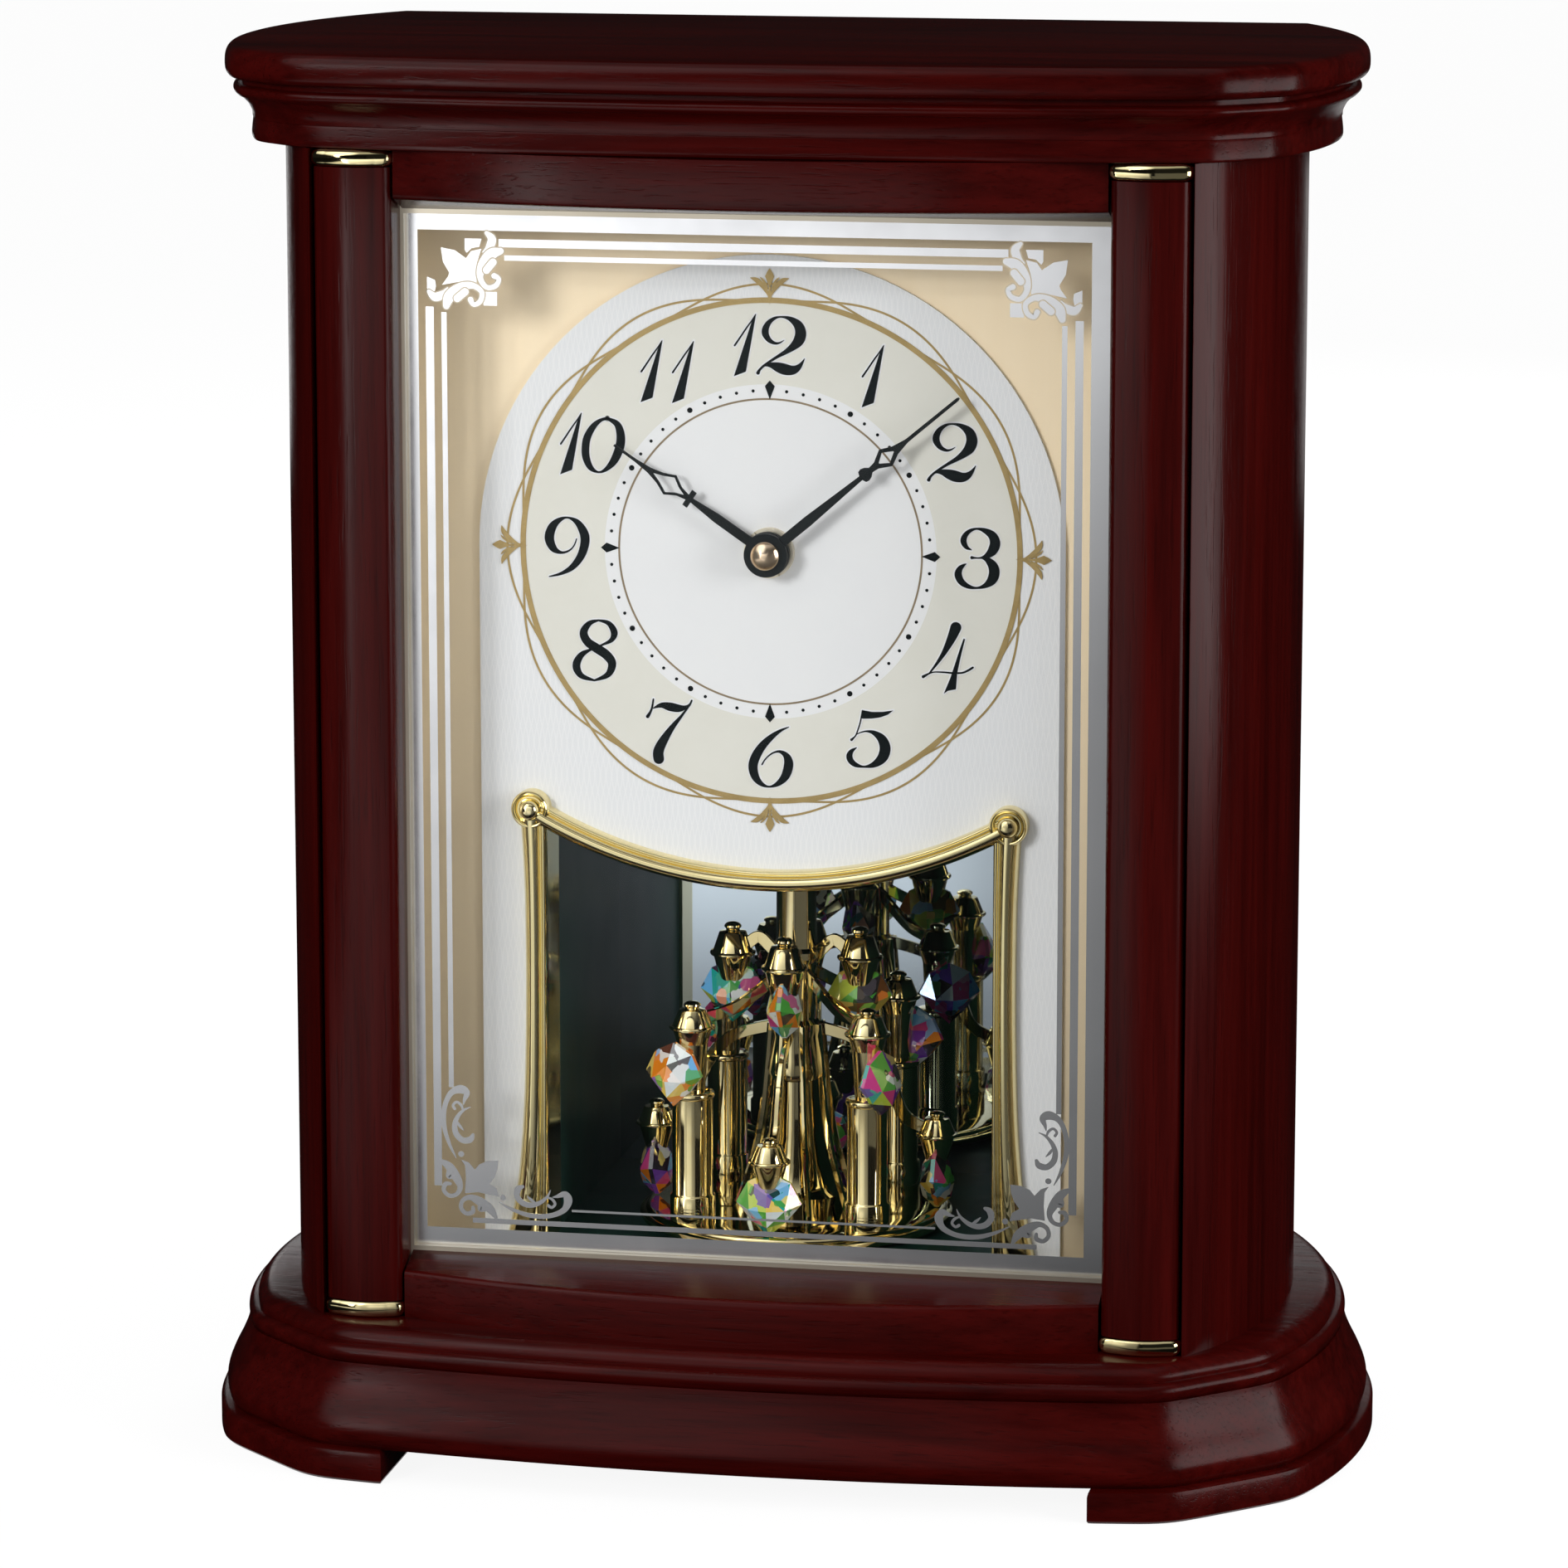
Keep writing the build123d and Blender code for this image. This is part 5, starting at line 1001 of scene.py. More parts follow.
# %% Corner leaves and scrolls
LOW_LEAF = ((9.92, 18.78), (10.78, 17.49), (10.96, 14.71), (10.71, 11.39), (13.57, 11.77), (16.07, 11.3),
            (18.22, 10.95), (17.68, 12.77), (16.15, 13.7), (17.33, 15.36), (17.93, 17.13), (18.11, 18.88),
            (15.72, 18.66), (13.93, 17.92), (12.93, 16.69), (11.6, 18.16))
LOW_STROKES = (
    ((8.84, 19.14, 0.22), (7.48, 21.87, 0.72), (6.4, 25.31, 1.01), (6.22, 28.44, 1.08), (6.76, 31.18, 1.08),
     (8.02, 33.33, 1.29), (9.99, 34.12, 1.87), (11.28, 33.37, 1.44), (10.78, 31.78, 0.72), (10.56, 30.8, 0.22)),
    ((12.07, 30.31, 0.18), (10.53, 29.54, 0.58), (9.2, 27.95, 0.93), (8.59, 26.1, 1.15), (8.99, 24.21, 1.29),
     (10.42, 22.98, 1.29), (11.99, 23.26, 1.37), (12.57, 24.27, 0.72)),
    ((10.53, 29.26, 0.29), (10.13, 30.57, 0.58), (9.09, 31.29, 0.58), (8.3, 30.55, 0.58), (8.66, 29.8, 0.65)),
    ((9.02, 27.17, 0.29), (9.7, 26.16, 0.65), (10.56, 25.22, 0.18)),
    ((5.51, 18.36, 0.79), (7.3, 17.15, 1.87), (8.91, 14.79, 1.94), (9.7, 12.74, 1.22), (8.91, 11.13, 0.93),
     (7.3, 10.77, 0.93), (6.12, 11.87, 0.93), (6.51, 13.28, 1.01), (7.55, 13.37, 0.72)),
    ((7.55, 16.29, 1.44), (7.19, 14.95, 1.08), (8.27, 14.86, 0.72)),
    ((9.95, 20.0, 1.25), (10.05, 20.0, 1.25)),
)
HIGH_LEAF = ((7.42, 7.15), (10.38, 7.69), (12.77, 9.32), (13.83, 7.82), (16.07, 7.28), (15.05, 10.27), (14.95, 14.82),
             (11.49, 14.2), (7.58, 14.97), (8.95, 13.11), (9.15, 12.37), (7.83, 10.17))
HIGH_STROKES = (
    ((17.19, 3.99, 0.82), (18.3, 5.25, 1.74), (17.69, 7.05, 1.53), (16.48, 7.96, 0.41)),
    ((20.13, 7.69, 1.33), (18.1, 8.42, 2.35), (16.27, 10.83, 2.04), (15.76, 13.32, 1.22), (17.09, 15.27, 1.02),
     (19.01, 14.93, 1.02), (19.72, 13.53, 0.92), (18.71, 12.86, 1.12)),
    ((18.51, 10.0, 1.53), (17.09, 11.71, 1.53)),
)
HIGH_BLOCKS = (((16.4, 16.2), (19.3, 16.2), (19.3, 19.1), (16.4, 19.1)),
               ((12.5, 5.2), (16.1, 5.2), (15.6, 6.9), (14.0, 7.2), (12.9, 8.2), (12.5, 7.6)),
               ((4.4, 13.3), (6.1, 14.0), (6.3, 15.2), (5.9, 16.8), (4.4, 17.2)))
CORNER_LOW_Z, CORNER_HIGH_Z = 45.0, 265.4
GAP = 0.26
CORNERS = (
    # lower or upper corners, leaf, strokes, shift of the mirrored half, blocks
    (True, LOW_LEAF, LOW_STROKES, 0.9, ()),
    (False, HIGH_LEAF, HIGH_STROKES, -0.8, HIGH_BLOCKS),
)


def from_corner(points, side, low):
    """Points measured in from a corner of the print, as x and z on the glass, with what else they carry."""
    return [(PRINT_MIDDLE + side * (PRINT_HALF - along), CORNER_LOW_Z + up if low else CORNER_HIGH_Z - up, *rest)
            for along, up, *rest in points]


gap_parts = []
for low, leaf, strokes, twist, blocks in CORNERS:
    for side in (-1, 1):
        corner = [plate(from_corner(leaf, side, low), PRINT_Y - LAYER)]
        for knots in strokes:
            for half in (knots, [(b - twist, a + twist, w) for a, b, w in knots]):
                line = from_corner(half, side, low)
                depth = PRINT_Y - LAYER * (2 * len(corner) + 1)
                corner.append(stroke(line, depth))
                if not low:
                    gap_parts.append(stroke([(x, z, w + 2 * GAP) for x, z, w in line], depth + LAYER))
        corner += [plate(from_corner(block, side, low), PRINT_Y - LAYER / 2) for block in blocks]
        print_parts += corner
piece("glass_print", joined(print_parts), "silver_print", "mirror_silver")
piece("glass_print_gaps", joined(gap_parts), "print_gap", "gold_board")

# %% [markdown]
# ## Window trim and rosettes
# The window in the dial has a cast and polished trim: a hanging swag with a bead and a round, two bars that
# flare out below, and a turned rosette over each end. The swag could be a curve with a bevel profile, but
# mesh rings along the arc let the bars change their width as they go down.

# %% Trim
TRIM_BACK_Y = -23.0
TRIM_FORM = ((-2.3, 0.0), (-2.3, 1.0), (-2.05, 2.3), (-1.45, 3.35), (-0.55, 3.95), (0.3, 3.8), (0.85, 3.15),
             (1.1, 2.55), (1.3, 2.45), (1.45, 2.75), (1.75, 2.95), (2.05, 2.75), (2.25, 2.1), (2.3, 1.0), (2.3, 0.0))
TRIM_HALF = 2.3
SWAG_END_X, SWAG_END_Z, SWAG_LOW_Z = 51.3, 137.8, 124.0
BAR_EDGE = ((43.2, 57.6), (50.0, 56.0), (60.0, 54.5), (75.0, 53.4), (95.0, 52.9), (115.0, 52.9), (128.0, 53.3),
            (136.5, 53.9))
BAR_INNER_X, BAR_HEIGHT_SHARE = 48.0, 0.94
FLANGE_SECTION = ((48.0, -23.0), (48.8, -23.0), (48.8, -13.0), (48.0, -13.0))
FLANGE_ENDS_Z = (43.2, 136.0)
trim_form = curve_through(TRIM_FORM, 3)


def swag_solid():
    """The trim's section carried along the hanging arc, its bead on the upper side."""
    drop = SWAG_END_Z - SWAG_LOW_Z
    radius = (SWAG_END_X ** 2 + drop ** 2) / (2 * drop)
    centre_z = SWAG_LOW_Z + radius
    reach = math.asin(SWAG_END_X / radius)
    return loft([[((radius - n) * math.sin(angle), TRIM_BACK_Y - h, centre_z - (radius - n) * math.cos(angle))
                  for n, h in trim_form] for angle in even_steps(-reach, reach, 80)])


def bar_solid(side):
    """One upright of the trim, straight inside and flaring outside."""
    rings = []
    for z, outer in curve_through(BAR_EDGE, 6):
        half = (outer - BAR_INNER_X) / 2
        rings.append([(side * (BAR_INNER_X + half - n / TRIM_HALF * half), TRIM_BACK_Y - h * BAR_HEIGHT_SHARE, z)
                      for n, h in trim_form])
    return loft(rings)


def flange_solid(side):
    """The thin edge that an upright turns back into the window."""
    return loft([[(side * x, y, z) for x, y in FLANGE_SECTION] for z in FLANGE_ENDS_Z])


trim_parts = [swag_solid()] + [part for side in (-1, 1) for part in (bar_solid(side), flange_solid(side))]
piece("trim", joined(trim_parts), "polished_gold", "gold_metal", ("window_trim",), sharp=50)

# %% Rosettes
ROSETTE_FORM = ((4.1, 0.0), (4.1, 2.9), (3.95, 3.45), (3.6, 3.7), (3.2, 3.55), (2.95, 3.1), (2.75, 2.75),
                (2.45, 2.75), (2.3, 3.1), (2.25, 3.9), (1.95, 4.75), (1.4, 5.3), (0.7, 5.55), (0.0, 5.6))
rosettes = [lathe(ROSETTE_FORM, (side * SWAG_END_X, TRIM_BACK_Y, SWAG_END_Z), True) for side in (-1, 1)]
piece("rosettes", joined(rosettes), "polished_gold", "gold_metal", ("trim_rosettes",), sharp=50)

# %% [markdown]
# ## The hand cap
# A small turned cap with a cone-shaped front holds the hands. Turning a profile is what a lathe does, and the
# lathe helper does the same. The hands keep their CAD outline and get a fine bevel so that the edges catch light.

# %% Cap and hands
cap_low, cap_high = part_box("hand_cap")
cap_depth = (cap_high.y - cap_low.y) / MM
CAP_RADIUS = 3.05
CAP_RIM = ((0.94, 0.0), (1.0, 0.25), (1.0, 0.75), (0.95, 1.0))
CAP_CONE = ((0.62, 0.55), (0.28, 0.12))
CAP_TIP = 0.35
EDGE_WIDTH, EDGE_ANGLE = 0.12, 50
cap_form = [(CAP_RADIUS * share, height) for share, height in CAP_RIM]
cap_form += [(CAP_RADIUS * share, cap_depth - below) for share, below in CAP_CONE]
cap_form += [(CAP_TIP, cap_depth), (0.0, cap_depth)]
piece("cone_cap", lathe(cap_form, (0.0, cap_high.y / MM, DIAL_Z), True), "cap_bronze", "gold_metal", ("hand_cap",),
      body="minute_train")
for hand in ("minute_hand", "hour_hand"):
    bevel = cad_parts[hand].modifiers.new("fine_edge", "BEVEL")
    bevel.width, bevel.segments, bevel.limit_method = EDGE_WIDTH * MM, 2, "ANGLE"
    bevel.angle_limit = math.radians(EDGE_ANGLE)
print("cap depth", round(cap_depth, 2))

# %% [markdown]
# ## The turning ornament
# A gold-plated tower stands on a turntable: an eight-sided shaft, pipes, turned pendants on curved arms, and
# crystal drops below the pendants. Most of it is turned or swept work, which modifiers could do as well, but the
# lathe helper keeps every profile in one list of points. A short stem joins each middle pendant to the pipe under
# it. The drops are small meshes of flat facets, and each facet gets one of a few colours in a fixed order, so
# every run gives the same stones.

# %% Tower and turntable
AXIS_Y = 7.0
TABLE_Z = 43.6
FLOOR_Z = 46.5
TOWER_HEIGHT = 95.7
TABLE_FORM = ((0.0, 0.0), (32.9, 0.0), (33.7, 0.25), (34.0, 0.8), (34.0, 1.5), (33.6, 1.8), (32.9, 1.95),
              (32.8, 2.3), (32.4, 2.7), (31.6, 2.9), (27.0, 2.9), (0.0, 2.9))
TOWER_FORM = ((0.0, 11.5), (0.03, 11.5), (0.04, 10.4), (0.055, 9.2), (0.10, 7.5), (0.16, 6.3), (0.25, 5.5),
              (0.29, 5.3), (0.295, 6.3), (0.31, 6.6), (0.34, 6.1), (0.39, 5.3), (0.405, 5.6), (0.42, 5.5), (0.43, 4.7),
              (0.56, 4.5), (0.57, 5.0), (0.585, 5.0), (0.595, 4.4), (1.0, 4.3))
TOWER_SIDES, EDGE_NUDGE = 8, 0.03
RIB_LINE = ((13.6, 0.0), (11.6, 0.06), (9.6, 0.13), (8.0, 0.22), (7.0, 0.32), (6.2, 0.42))
RIB_HALF, RIB_DEPTH, RIB_CREST = 0.55, 1.1, 0.25


def gold_piece(name, solid, node, sharp=38):
    """A plated piece that turns with the ornament."""
    piece(name, solid, "plated_gold", "gold_plastic", (node,), body="ornament", sharp=sharp)


def round_axis(x, y, angle):
    s, c = math.sin(angle), math.cos(angle)
    return x * c - y * s, AXIS_Y + x * s + y * c


def tower_solid():
    """The eight-sided shaft, with two points at each edge so that it stays crisp."""
    rings = []
    for height, radius in TOWER_FORM:
        z = FLOOR_Z + height * TOWER_HEIGHT
        ring = []
        for k in range(TOWER_SIDES):
            for nudge in (-EDGE_NUDGE, EDGE_NUDGE):
                angle = 2 * math.pi * (k + nudge) / TOWER_SIDES
                ring.append((radius * math.cos(angle), AXIS_Y + radius * math.sin(angle), z))
        rings.append(ring)
    return loft(rings)


def rib_solid(angle):
    """A thin curved rib that runs up the tower's skirt."""
    rings = []
    for r, share in curve_through(RIB_LINE, 5):
        section = ((r - RIB_DEPTH, -RIB_HALF), (r, -RIB_HALF), (r + RIB_CREST, 0.0), (r, RIB_HALF),
                   (r - RIB_DEPTH, RIB_HALF))
        rings.append([round_axis(a, b, angle) + (FLOOR_Z + share * TOWER_HEIGHT,) for a, b in section])
    return loft(rings)


gold_piece("gold_turntable", lathe(TABLE_FORM, (0, AXIS_Y, TABLE_Z), sides=96), "turntable")
ribs = [rib_solid(2 * math.pi * (k + 0.5) / TOWER_SIDES) for k in range(TOWER_SIDES)]
gold_piece("tower", joined([tower_solid()] + ribs), "ornament_column", sharp=25)

# %% Pipes and pendants
PENDANT_FORM = ((0.0, 0.0), (0.52, 0.0), (0.55, 0.02), (0.90, 0.49), (1.02, 0.495), (1.06, 0.515), (1.06, 0.535),
                (1.02, 0.555), (0.92, 0.56), (0.64, 0.83), (0.60, 0.85), (0.34, 0.86), (0.30, 0.88), (0.40, 0.92),
                (0.38, 0.95), (0.28, 0.98), (0.14, 0.995), (0.0, 1.0))
PIPE_FORM = ((4.9, 0.0), (4.9, 5.4), (4.6, 5.7), (4.4, 6.0), (4.4, 26.9), (4.65, 27.1), (4.75, 27.4), (4.75, 27.9),
             (4.5, 28.3), (3.6, 28.5))
STEM_FORM = ((2.7, 28.3), (2.75, 28.6), (3.5, 41.6))
GROUPS = (
    # name, orbit, first angle, pendant rise, pendant radius, pendant height, crystal rise, wide side radial
    ("tall", 14.0, 0, 47.4, 4.7, 14.4, 39.6, True),
    ("middle", 27.0, 45, 36.1, 4.7, 12.0, 25.6, False),
    ("low", 31.0, 0, 10.5, 4.3, 11.2, 0.2, False),
)
QUARTERS = (0, 90, 180, 270)
pipe_parts, pendant_parts = [], []
for label, orbit, first, rise, radius, height, _, _ in GROUPS:
    for quarter in QUARTERS:
        px, py = round_axis(orbit, 0, math.radians(first + quarter))
        form = [(r * radius, h * height) for r, h in PENDANT_FORM]
        pendant_parts.append(lathe(form, (px, py, FLOOR_Z + rise), sides=32))
        if label == "middle":
            pendant_parts.append(lathe(STEM_FORM, (px, py, FLOOR_Z), sides=32))
            pipe_parts.append(lathe(PIPE_FORM, (px, py, FLOOR_Z), sides=40))
gold_piece("pipes", joined(pipe_parts), "ornament_pipes", sharp=50)
gold_piece("pendants", joined(pendant_parts), "ornament_pendants", sharp=24)

# %% Arms
ARM_START, ARM_BITE, ARM_SINK = 3.9, 0.62, 0.55
ARMS = (
    # orbit and radius of the pendant, first angle, heights of both ends, the swing between them
    (14.0, 4.7, 0, (0.5747, 0.5977), ((0.0, 0.0), (0.30, 1.1), (0.62, 1.9), (1.0, 1.0))),
    (27.0, 4.7, 45, (0.5434, 0.4660), ((0.0, 0.0), (0.30, 0.46), (0.62, 0.85), (1.0, 1.0))),
    (31.0, 4.3, 0, (0.4180, 0.1902), ((0.0, 0.0), (0.42, 0.14), (0.66, 0.45), (0.80, 0.85), (1.0, 1.0))),
)
ARM_SECTION = ((-0.55, -1.15), (-0.55, 1.15), (-0.4, 1.32), (0.4, 1.32), (0.55, 1.15), (0.55, -1.15), (0.4, -1.32),
               (-0.4, -1.32))


def arm_solid(orbit, radius, angle, ends, shares):
    """A flat strap, standing on edge, that swings from the tower out to a pendant."""
    reach = orbit - radius * ARM_BITE - ARM_START
    line = [(ARM_START + reach * u, FLOOR_Z + TOWER_HEIGHT * (ends[0] + (ends[1] - ends[0]) * v) - ARM_SINK)
            for u, v in curve_through(shares, 8)]
    return loft([[round_axis(r + nr * up, across, angle) + (z + nz * up,) for across, up in ARM_SECTION]
                 for (r, z), (nr, nz) in zip(line, across_line(line))])


arm_parts = [arm_solid(orbit, radius, math.radians(first + quarter), ends, shares)
             for orbit, radius, first, ends, shares in ARMS for quarter in QUARTERS]
gold_piece("arms", joined(arm_parts), "ornament_arms", sharp=30)

# %% Crystal drops
GEM_WIDTH, GEM_DEPTH, GEM_HEIGHT = 14.2, 7.8, 14.0
GEM_RIM = ((0.0, 0.0), (0.50, 0.22), (1.0, 0.52), (0.66, 0.84), (0.0, 1.0), (-0.66, 0.84), (-1.0, 0.52),
           (-0.50, 0.22))
GEM_TABLE = ((0.0, 0.17), (0.54, 0.44), (0.0, 0.68), (-0.54, 0.44), (0.0, 0.43))
GEM_FACES = ((0, 1, 8), (1, 9, 8), (1, 2, 9), (2, 3, 9), (3, 10, 9), (3, 4, 10), (4, 5, 10), (5, 11, 10), (5, 6, 11),
             (6, 7, 11), (7, 8, 11), (7, 0, 8), (8, 9, 12), (9, 10, 12), (10, 11, 12), (11, 8, 12))
# painted reflection: the facet tints are partly the coating's colours and partly reflected light, with clear as a
# painted glint and dusk as a painted dark reflection
TINTS = {
    "teal": (0.0, 0.40, 0.33), "leaf": (0.12, 0.48, 0.06), "lime": (0.56, 0.72, 0.07), "amber": (0.88, 0.25, 0.01),
    "straw": (0.92, 0.66, 0.12), "rose": (0.76, 0.07, 0.28), "violet": (0.22, 0.06, 0.58), "sky": (0.16, 0.52, 0.92),
    "clear": (0.86, 0.93, 0.93), "dusk": (0.03, 0.015, 0.03),
}
GEM_COLOURS = {
    # one row of facet tints for each stone, starting at the right and going round by the back
    "tall": ("straw lime amber leaf lime straw dusk", "violet sky clear violet rose sky dusk",
             "teal leaf teal sky dusk teal lime", "clear rose amber leaf sky clear dusk"),
    "middle": ("rose violet amber sky clear dusk rose", "rose teal violet dusk leaf rose violet",
               "amber clear sky straw amber dusk amber", "leaf violet lime rose leaf dusk teal"),
    "low": ("dusk clear dusk rose dusk straw teal", "violet rose dusk sky violet clear amber",
            "violet dusk rose sky dusk violet amber", "lime clear rose leaf straw teal clear"),
}
# the middle stones stand out from their pendants' axes and have turned on their hooks
GEM_OUT, GEM_TWIST = {"middle": 4.6}, {"middle": 22}
GEM_EDGE, GEM_SHOULDER, GEM_CREST = 0.06, 0.40, 0.5


def gem_points(x, y, low_z, angle):
    """Points of one drop: front rim and table, then the same behind."""
    depths = [GEM_EDGE] * len(GEM_RIM) + [GEM_SHOULDER] * (len(GEM_TABLE) - 1) + [GEM_CREST]
    s, c = math.sin(angle), math.cos(angle)
    points = []
    for face in (1, -1):
        for depth, (across, up) in zip(depths, GEM_RIM + GEM_TABLE):
            a, b = face * GEM_DEPTH * depth, across * GEM_WIDTH / 2
            points.append((x + a * c - b * s, y + a * s + b * c, low_z + up * GEM_HEIGHT))
    return points


def gem_faces():
    """Facets of both faces and of the narrow rim between them."""
    count = len(GEM_RIM) + len(GEM_TABLE)
    faces = list(GEM_FACES) + [tuple(reversed([count + i for i in face])) for face in GEM_FACES]
    rim = len(GEM_RIM)
    return faces + [(i, (i + 1) % rim, count + (i + 1) % rim, count + i) for i in range(rim)]


gem_parts, gem_tints = [], []
for label, orbit, first, _, _, _, gem_rise, radial in GROUPS:
    for quarter, words in zip(QUARTERS, GEM_COLOURS[label]):
        colours = words.split()
        turn = math.radians(first + quarter)
        px, py = round_axis(orbit + GEM_OUT.get(label, 0), 0, turn)
        facing = turn + math.radians(GEM_TWIST.get(label, 0) + (90 if radial else 0))
        gem_parts.append((gem_points(px, py, FLOOR_Z + gem_rise, facing), gem_faces()))
        gem_tints += [TINTS[colours[face * 3 % len(colours)]] + OPAQUE for face in range(len(gem_faces()))]
crystals = piece("crystal_drops", joined(gem_parts), "cut_crystal", "crystal", ("ornament_crystals",),
                 body="ornament", sharp=1)
tint_layer = crystals.data.attributes.new("facet_tint", "FLOAT_COLOR", "CORNER")
for polygon in crystals.data.polygons:
    for corner in polygon.loop_indices:
        tint_layer.data[corner].color = gem_tints[polygon.index]
print("crystal drops:", len(gem_parts), "with", len(gem_faces()), "facets each")

# %% [markdown]
# ## Studio: world and floor
# The picture has a white ground with a faint shadow. A white floor that is only lit turns grey where the light
# falls off, and a floor that only glows takes no shadow, so the floor is a mix of both. It throws back less light
# than it shows, because a table that bright would light the case from below.

# %% World and floor
AMBIENT, FLOOR_BACK = (0.55, 0.55, 0.55, 1), (0.35, 0.35, 0.35, 1)
FLOOR_GLOW, FLOOR_GLOW_SHARE = 1.06, 0.86


def seen_rays(tree):
    """1 for the picture, reflections and views through glass; 0 for light that is thrown on."""
    path = add(tree, "LightPath").outputs
    bounced = math_node(tree, "MAXIMUM", path["Is Glossy Ray"], path["Is Transmission Ray"])
    return math_node(tree, "MAXIMUM", path["Is Camera Ray"], bounced)


def stage_sheet(name, corners, material):
    mesh = bpy.data.meshes.new(name)
    mesh.from_pydata(corners, [], [tuple(range(len(corners)))])
    sheet = bpy.data.objects.new(name, mesh)
    scene.collection.objects.link(sheet)
    mesh.materials.append(material)
    return sheet


def level_sheet(name, half, z, material):
    return stage_sheet(name, [(-half, -half, z), (half, -half, z), (half, half, z), (-half, half, z)], material)


def build_floor_white():
    tree, shader = new_finish("floor_white", Roughness=0.9, Specular_IOR_Level=0.1)
    seen = seen_rays(tree)
    marks = place_group(tree, surface_marks, Size=3, Tone=(0.86, 0.86, 0.86, 1), Second_tone=(0.88, 0.88, 0.88, 1))
    feed(tree, shader, Base_Color=mixed(tree, seen, FLOOR_BACK, marks.outputs["Color"]))
    glow = add(tree, "Emission", Color=WHITE, Strength=FLOOR_GLOW)
    share = math_node(tree, "MULTIPLY", seen, FLOOR_GLOW_SHARE)
    mix = add(tree, "MixShader", i0=share, i1=shader.outputs[0], i2=glow.outputs[0])
    feed(tree, tree.nodes["Material Output"], Surface=mix.outputs[0])


scene.world = bpy.data.worlds.new("studio_world")
scene.world.use_nodes = True
world_tree = scene.world.node_tree
feed(world_tree, world_tree.nodes["Background"], Color=mixed(world_tree, seen_rays(world_tree), AMBIENT, WHITE))
build_floor_white()
floor = level_sheet("floor", 6, 0, finishes["floor_white"])
print("floor", tuple(floor.dimensions))

# %% [markdown]
# ## Cards that only reflections see
# With white all round, polished metal and lacquer reflect white everywhere and look chalky. Photographers put
# dark cards with light parts round such an object, out of the picture. Here the cards are stage pieces that only
# reflections can see: one on the table for the base, one in front for the pillars and rails, one near the glass
# for the silver print, a small one behind for the ledges, and a dark dome with soft openings round it all. One
# opening stands where the main lamp is, since the lamp itself isn't reflected.


# %% Card finish
def glow_finish(name):
    """A material that is still without a shader, its nodes, and the place on the surface."""
    material = bpy.data.materials.new(name)
    material.use_nodes = True
    tree = material.node_tree
    tree.nodes.remove(tree.nodes["Principled BSDF"])
    return material, tree, add(tree, "TexCoord").outputs["Object"]


def shine(tree, strength):
    glow = add(tree, "Emission", Color=WHITE, Strength=strength)
    feed(tree, tree.nodes["Material Output"], Surface=glow.outputs[0])


def only_reflected(card):
    card.visible_camera = card.visible_diffuse = card.visible_shadow = False


def glow_card(name, glows, dark):
    """A material that glows by place. A ramp is an axis, two places, the two levels there and its shape; the
    ramps of one glow are multiplied, and the glows are added."""
    material, tree, where = glow_finish(name)
    place = add(tree, "SeparateXYZ", Vector=where).outputs
    total = dark
    for ramps in glows:
        level = 1.0
        for axis, *ramp in ramps:
            level = math_node(tree, "MULTIPLY", ranged(tree, place[axis], *ramp), level)
        total = math_node(tree, "ADD", level, total)
    shine(tree, total)
    return material


print("materials before the cards:", len(bpy.data.materials))

# %% Table card and upright cards
CARD_DARK = 0.004
EVEN, SOFT = "LINEAR", "SMOOTHSTEP"
TABLE_GLOW = (("X", 0.02, -0.58, 0.10, 1.75, EVEN), ("X", -0.50, -0.28, 0.0, 1.0, SOFT),
              ("Y", -0.14, -0.27, 0.0, 1.0, SOFT))
FRONT_GLOW = (("X", 0.05, -0.17, 0.0, 1.0, SOFT), ("X", -0.36, -0.22, 0.0, 1.0, SOFT),
              ("Z", 0.0, 0.24, 0.40, 2.3, EVEN), ("Z", 0.236, 0.220, 0.0, 1.0, SOFT))
NEAR_TOP = ("Z", 0.263, 0.250, 0.0, 1.0, SOFT)
NEAR_GLOWS = (
    # the left side, the right side, a lift along the top, the outer left edge, and a patch for the ornament
    (("X", 0.05, -0.115, 0.0, 1.0, EVEN), ("Z", 0.0, 0.25, 0.28, 1.36, EVEN), NEAR_TOP),
    (("X", -0.115, 0.05, 0.0, 1.0, EVEN), ("Z", 0.0, 0.14, 0.12, 0.28, EVEN), ("Z", 0.15, 0.25, 1.0, 2.9, EVEN),
     ("X", 0.07, 0.055, 0.0, 1.0, SOFT), NEAR_TOP),
    (("X", 0.05, -0.04, 0.2, 1.0, EVEN), ("Z", 0.20, 0.25, 0.0, 0.55, EVEN), NEAR_TOP),
    (("X", -0.117, -0.14, 0.0, 1.0, SOFT), ("Z", 0.10, 0.25, 0.2, 4.2, EVEN), NEAR_TOP),
    (("X", -0.105, -0.08, 0.0, 0.36, SOFT), ("X", 0.02, -0.03, 0.0, 1.0, SOFT), ("Z", 0.02, 0.06, 0.0, 1.0, SOFT),
     ("Z", 0.15, 0.11, 0.0, 1.0, SOFT)),
)
LEDGE_GLOW = (("Z", 0.09, 0.13, 0.0, 1.0, SOFT), ("X", 0.10, -0.25, 0.60, 1.5, EVEN))
UPRIGHT_CARDS = (
    # name, left, right, place from front to back, foot, head, glows, dark level
    ("front_card", -0.42, 0.1, -0.65, 0.001, 0.52, (FRONT_GLOW,), CARD_DARK),
    ("near_card", -0.155, 0.07, -0.20, 0.001, 0.268, NEAR_GLOWS, CARD_DARK),
    ("ledge_card", -0.45, 0.20, 0.70, 0.09, 0.21, (LEDGE_GLOW,), 0.0),
)
only_reflected(level_sheet("table_card", 5, 0.0006, glow_card("table_card", (TABLE_GLOW,), CARD_DARK)))
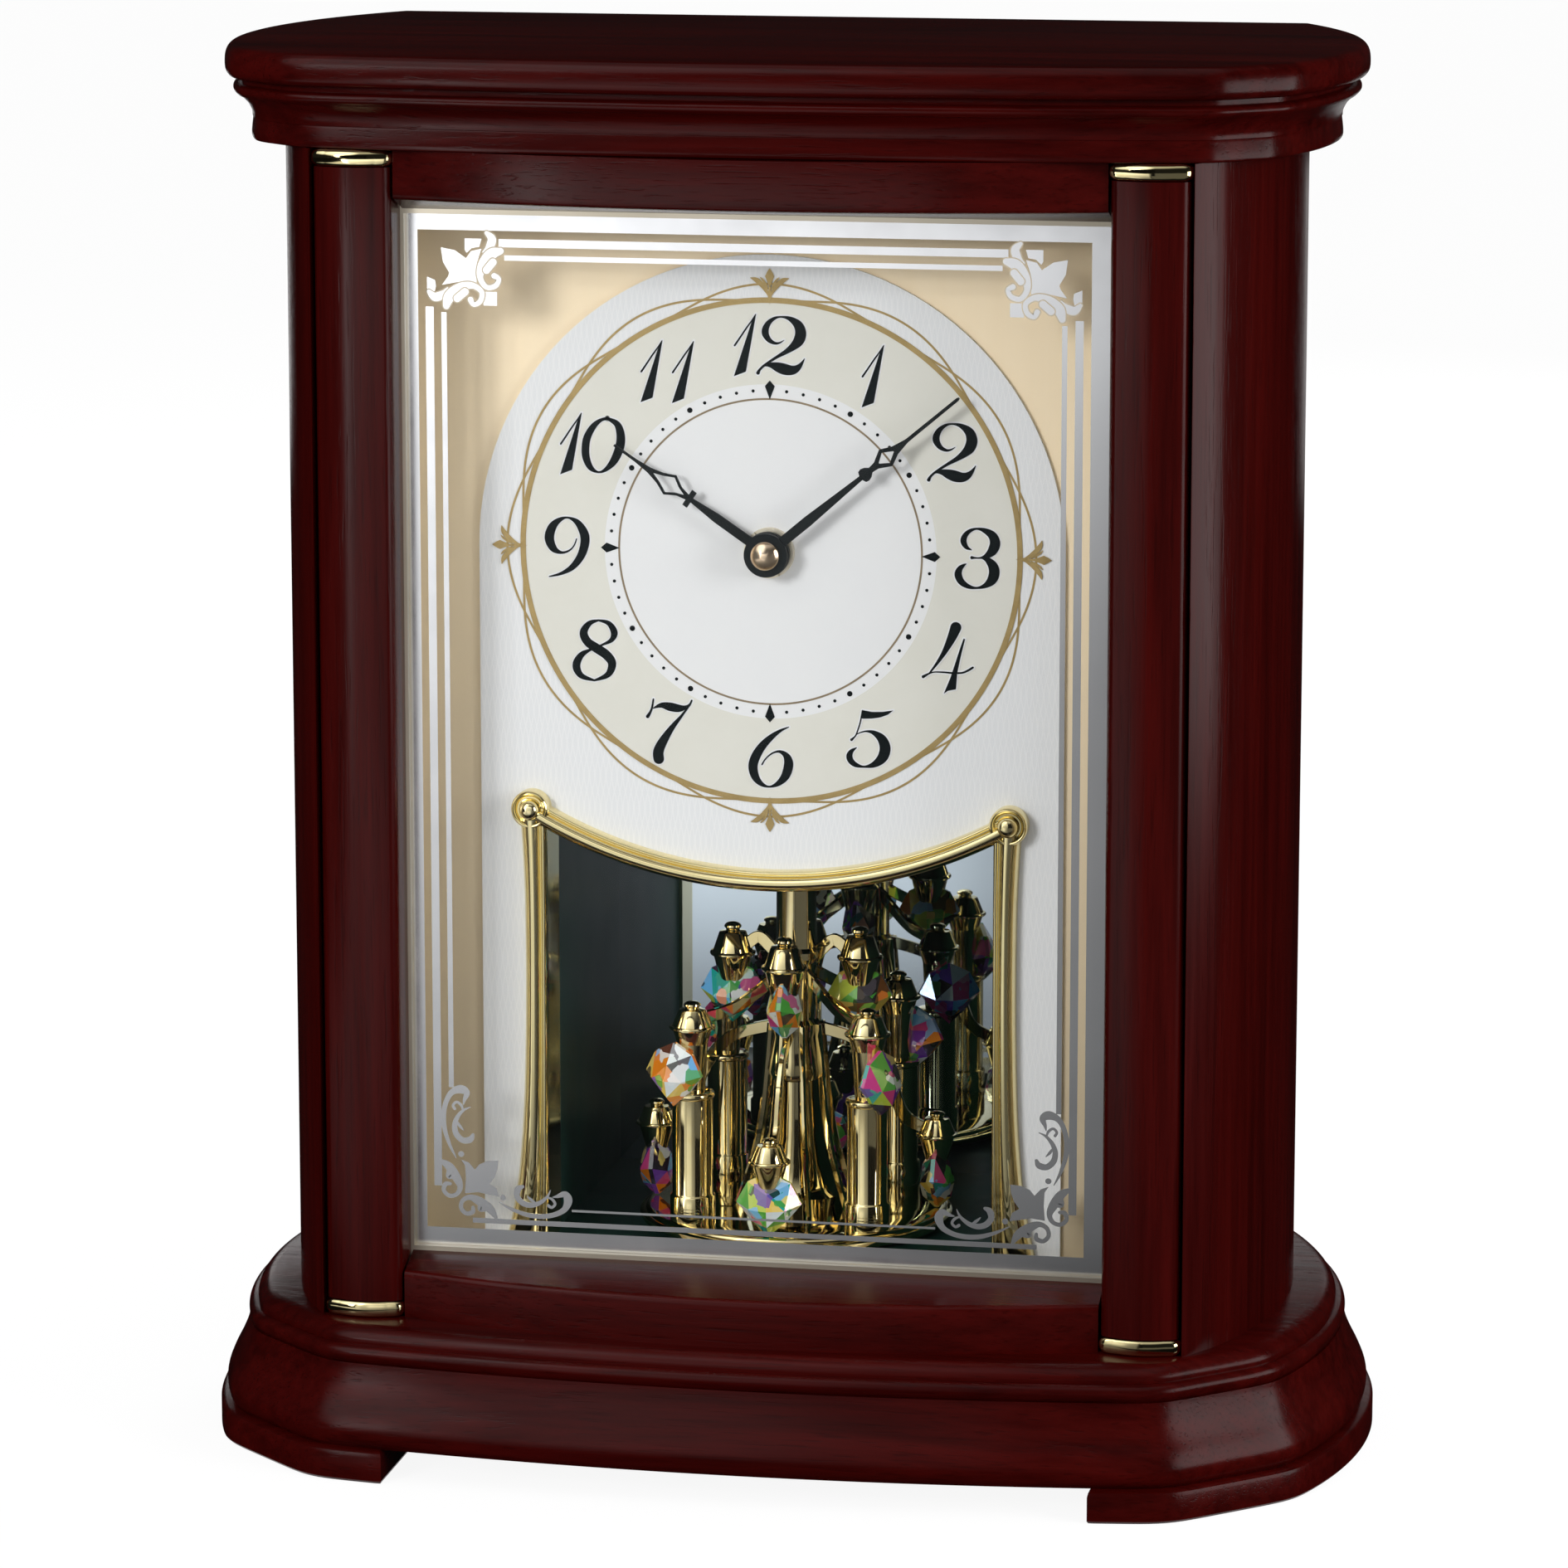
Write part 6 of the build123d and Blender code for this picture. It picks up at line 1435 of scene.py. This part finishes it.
for name, left, right, y, foot, head, glows, dark in UPRIGHT_CARDS:
    corners = [(left, y, foot), (right, y, foot), (right, y, head), (left, y, head)]
    only_reflected(stage_sheet(name, corners, glow_card(name, glows, dark)))
print("upright cards:", len(UPRIGHT_CARDS))

# %% Dome of cards
DOME_RADIUS = 4.0
DOME_DARK = 0.01
DOME_PATCHES = (
    # heading (0 is the front, 90 the right), height, inner and outer angle, brightness
    (-38, 42, 12, 30, 1.6),
    (-29, 18, 7, 12, 4.2),
    (0, 78, 14, 46, 0.5),
)


def build_dome_card():
    """Black cards with a few soft white openings, painted by direction."""
    material, tree, place = glow_finish("dome_card")
    way = add(tree, "VectorMath", {"operation": "NORMALIZE"}, i0=place).outputs[0]
    total = DOME_DARK
    for heading, height, inner, outer, bright in DOME_PATCHES:
        h, e = math.radians(heading), math.radians(height)
        towards = (math.sin(h) * math.cos(e), -math.cos(h) * math.cos(e), math.sin(e))
        near = add(tree, "VectorMath", {"operation": "DOT_PRODUCT"}, i0=way, i1=towards).outputs["Value"]
        edges = [math.cos(math.radians(angle)) for angle in (outer, inner)]
        total = math_node(tree, "ADD", ranged(tree, near, *edges, 0.0, bright, SOFT), total)
    shine(tree, total)
    return material


dome_mesh = bpy.data.meshes.new("card_dome")
dome_build = bmesh.new()
bmesh.ops.create_uvsphere(dome_build, u_segments=48, v_segments=24, radius=DOME_RADIUS)
dome_build.to_mesh(dome_mesh)
dome_build.free()
dome = bpy.data.objects.new("card_dome", dome_mesh)
scene.collection.objects.link(dome)
dome_mesh.materials.append(build_dome_card())
only_reflected(dome)
print("dome patches:", len(DOME_PATCHES))

# %% [markdown]
# ## Lamps
# The light is soft and comes from the upper left in front. A lamp both lights a surface and shows in it, and here
# the two are kept apart: three softboxes only light, so that the cards alone shape the reflections, and a gleam
# on the right only shows in polished surfaces. The lamp behind keeps the back from going black when it is seen.

# %% Lamps
AIM = (0.0, 0.0, 0.16)
LAMPS = (
    # name, place, aim, width, height, watts, whether it lights, whether it is reflected
    ("key_softbox", (-0.84, -1.52, 0.69), AIM, 0.5, 0.5, 15.4, True, False),
    ("right_softbox", (0.80, -0.30, 0.36), (0.1, -0.03, 0.18), 0.4, 0.4, 4.4, True, False),
    ("right_gleam", (0.64, -0.10, 0.19), (0.0, -0.10, 0.13), 0.54, 0.28, 1.6, False, True),
    ("rear_softbox", (0.35, 1.6, 0.75), AIM, 0.6, 0.6, 9, True, False),
)
for name, place, aim, width, height, watts, lights, reflected in LAMPS:
    light = bpy.data.lights.new(name, "AREA")
    light.shape, light.size, light.size_y, light.energy = "RECTANGLE", width, height, watts
    lamp = bpy.data.objects.new(name, light)
    lamp.location = place
    lamp.rotation_euler = (Vector(aim) - Vector(place)).to_track_quat("-Z", "Y").to_euler()
    lamp.visible_camera, lamp.visible_diffuse, lamp.visible_glossy = False, lights, reflected
    scene.collection.objects.link(lamp)
print("lamps:", [name for name, *_ in LAMPS])
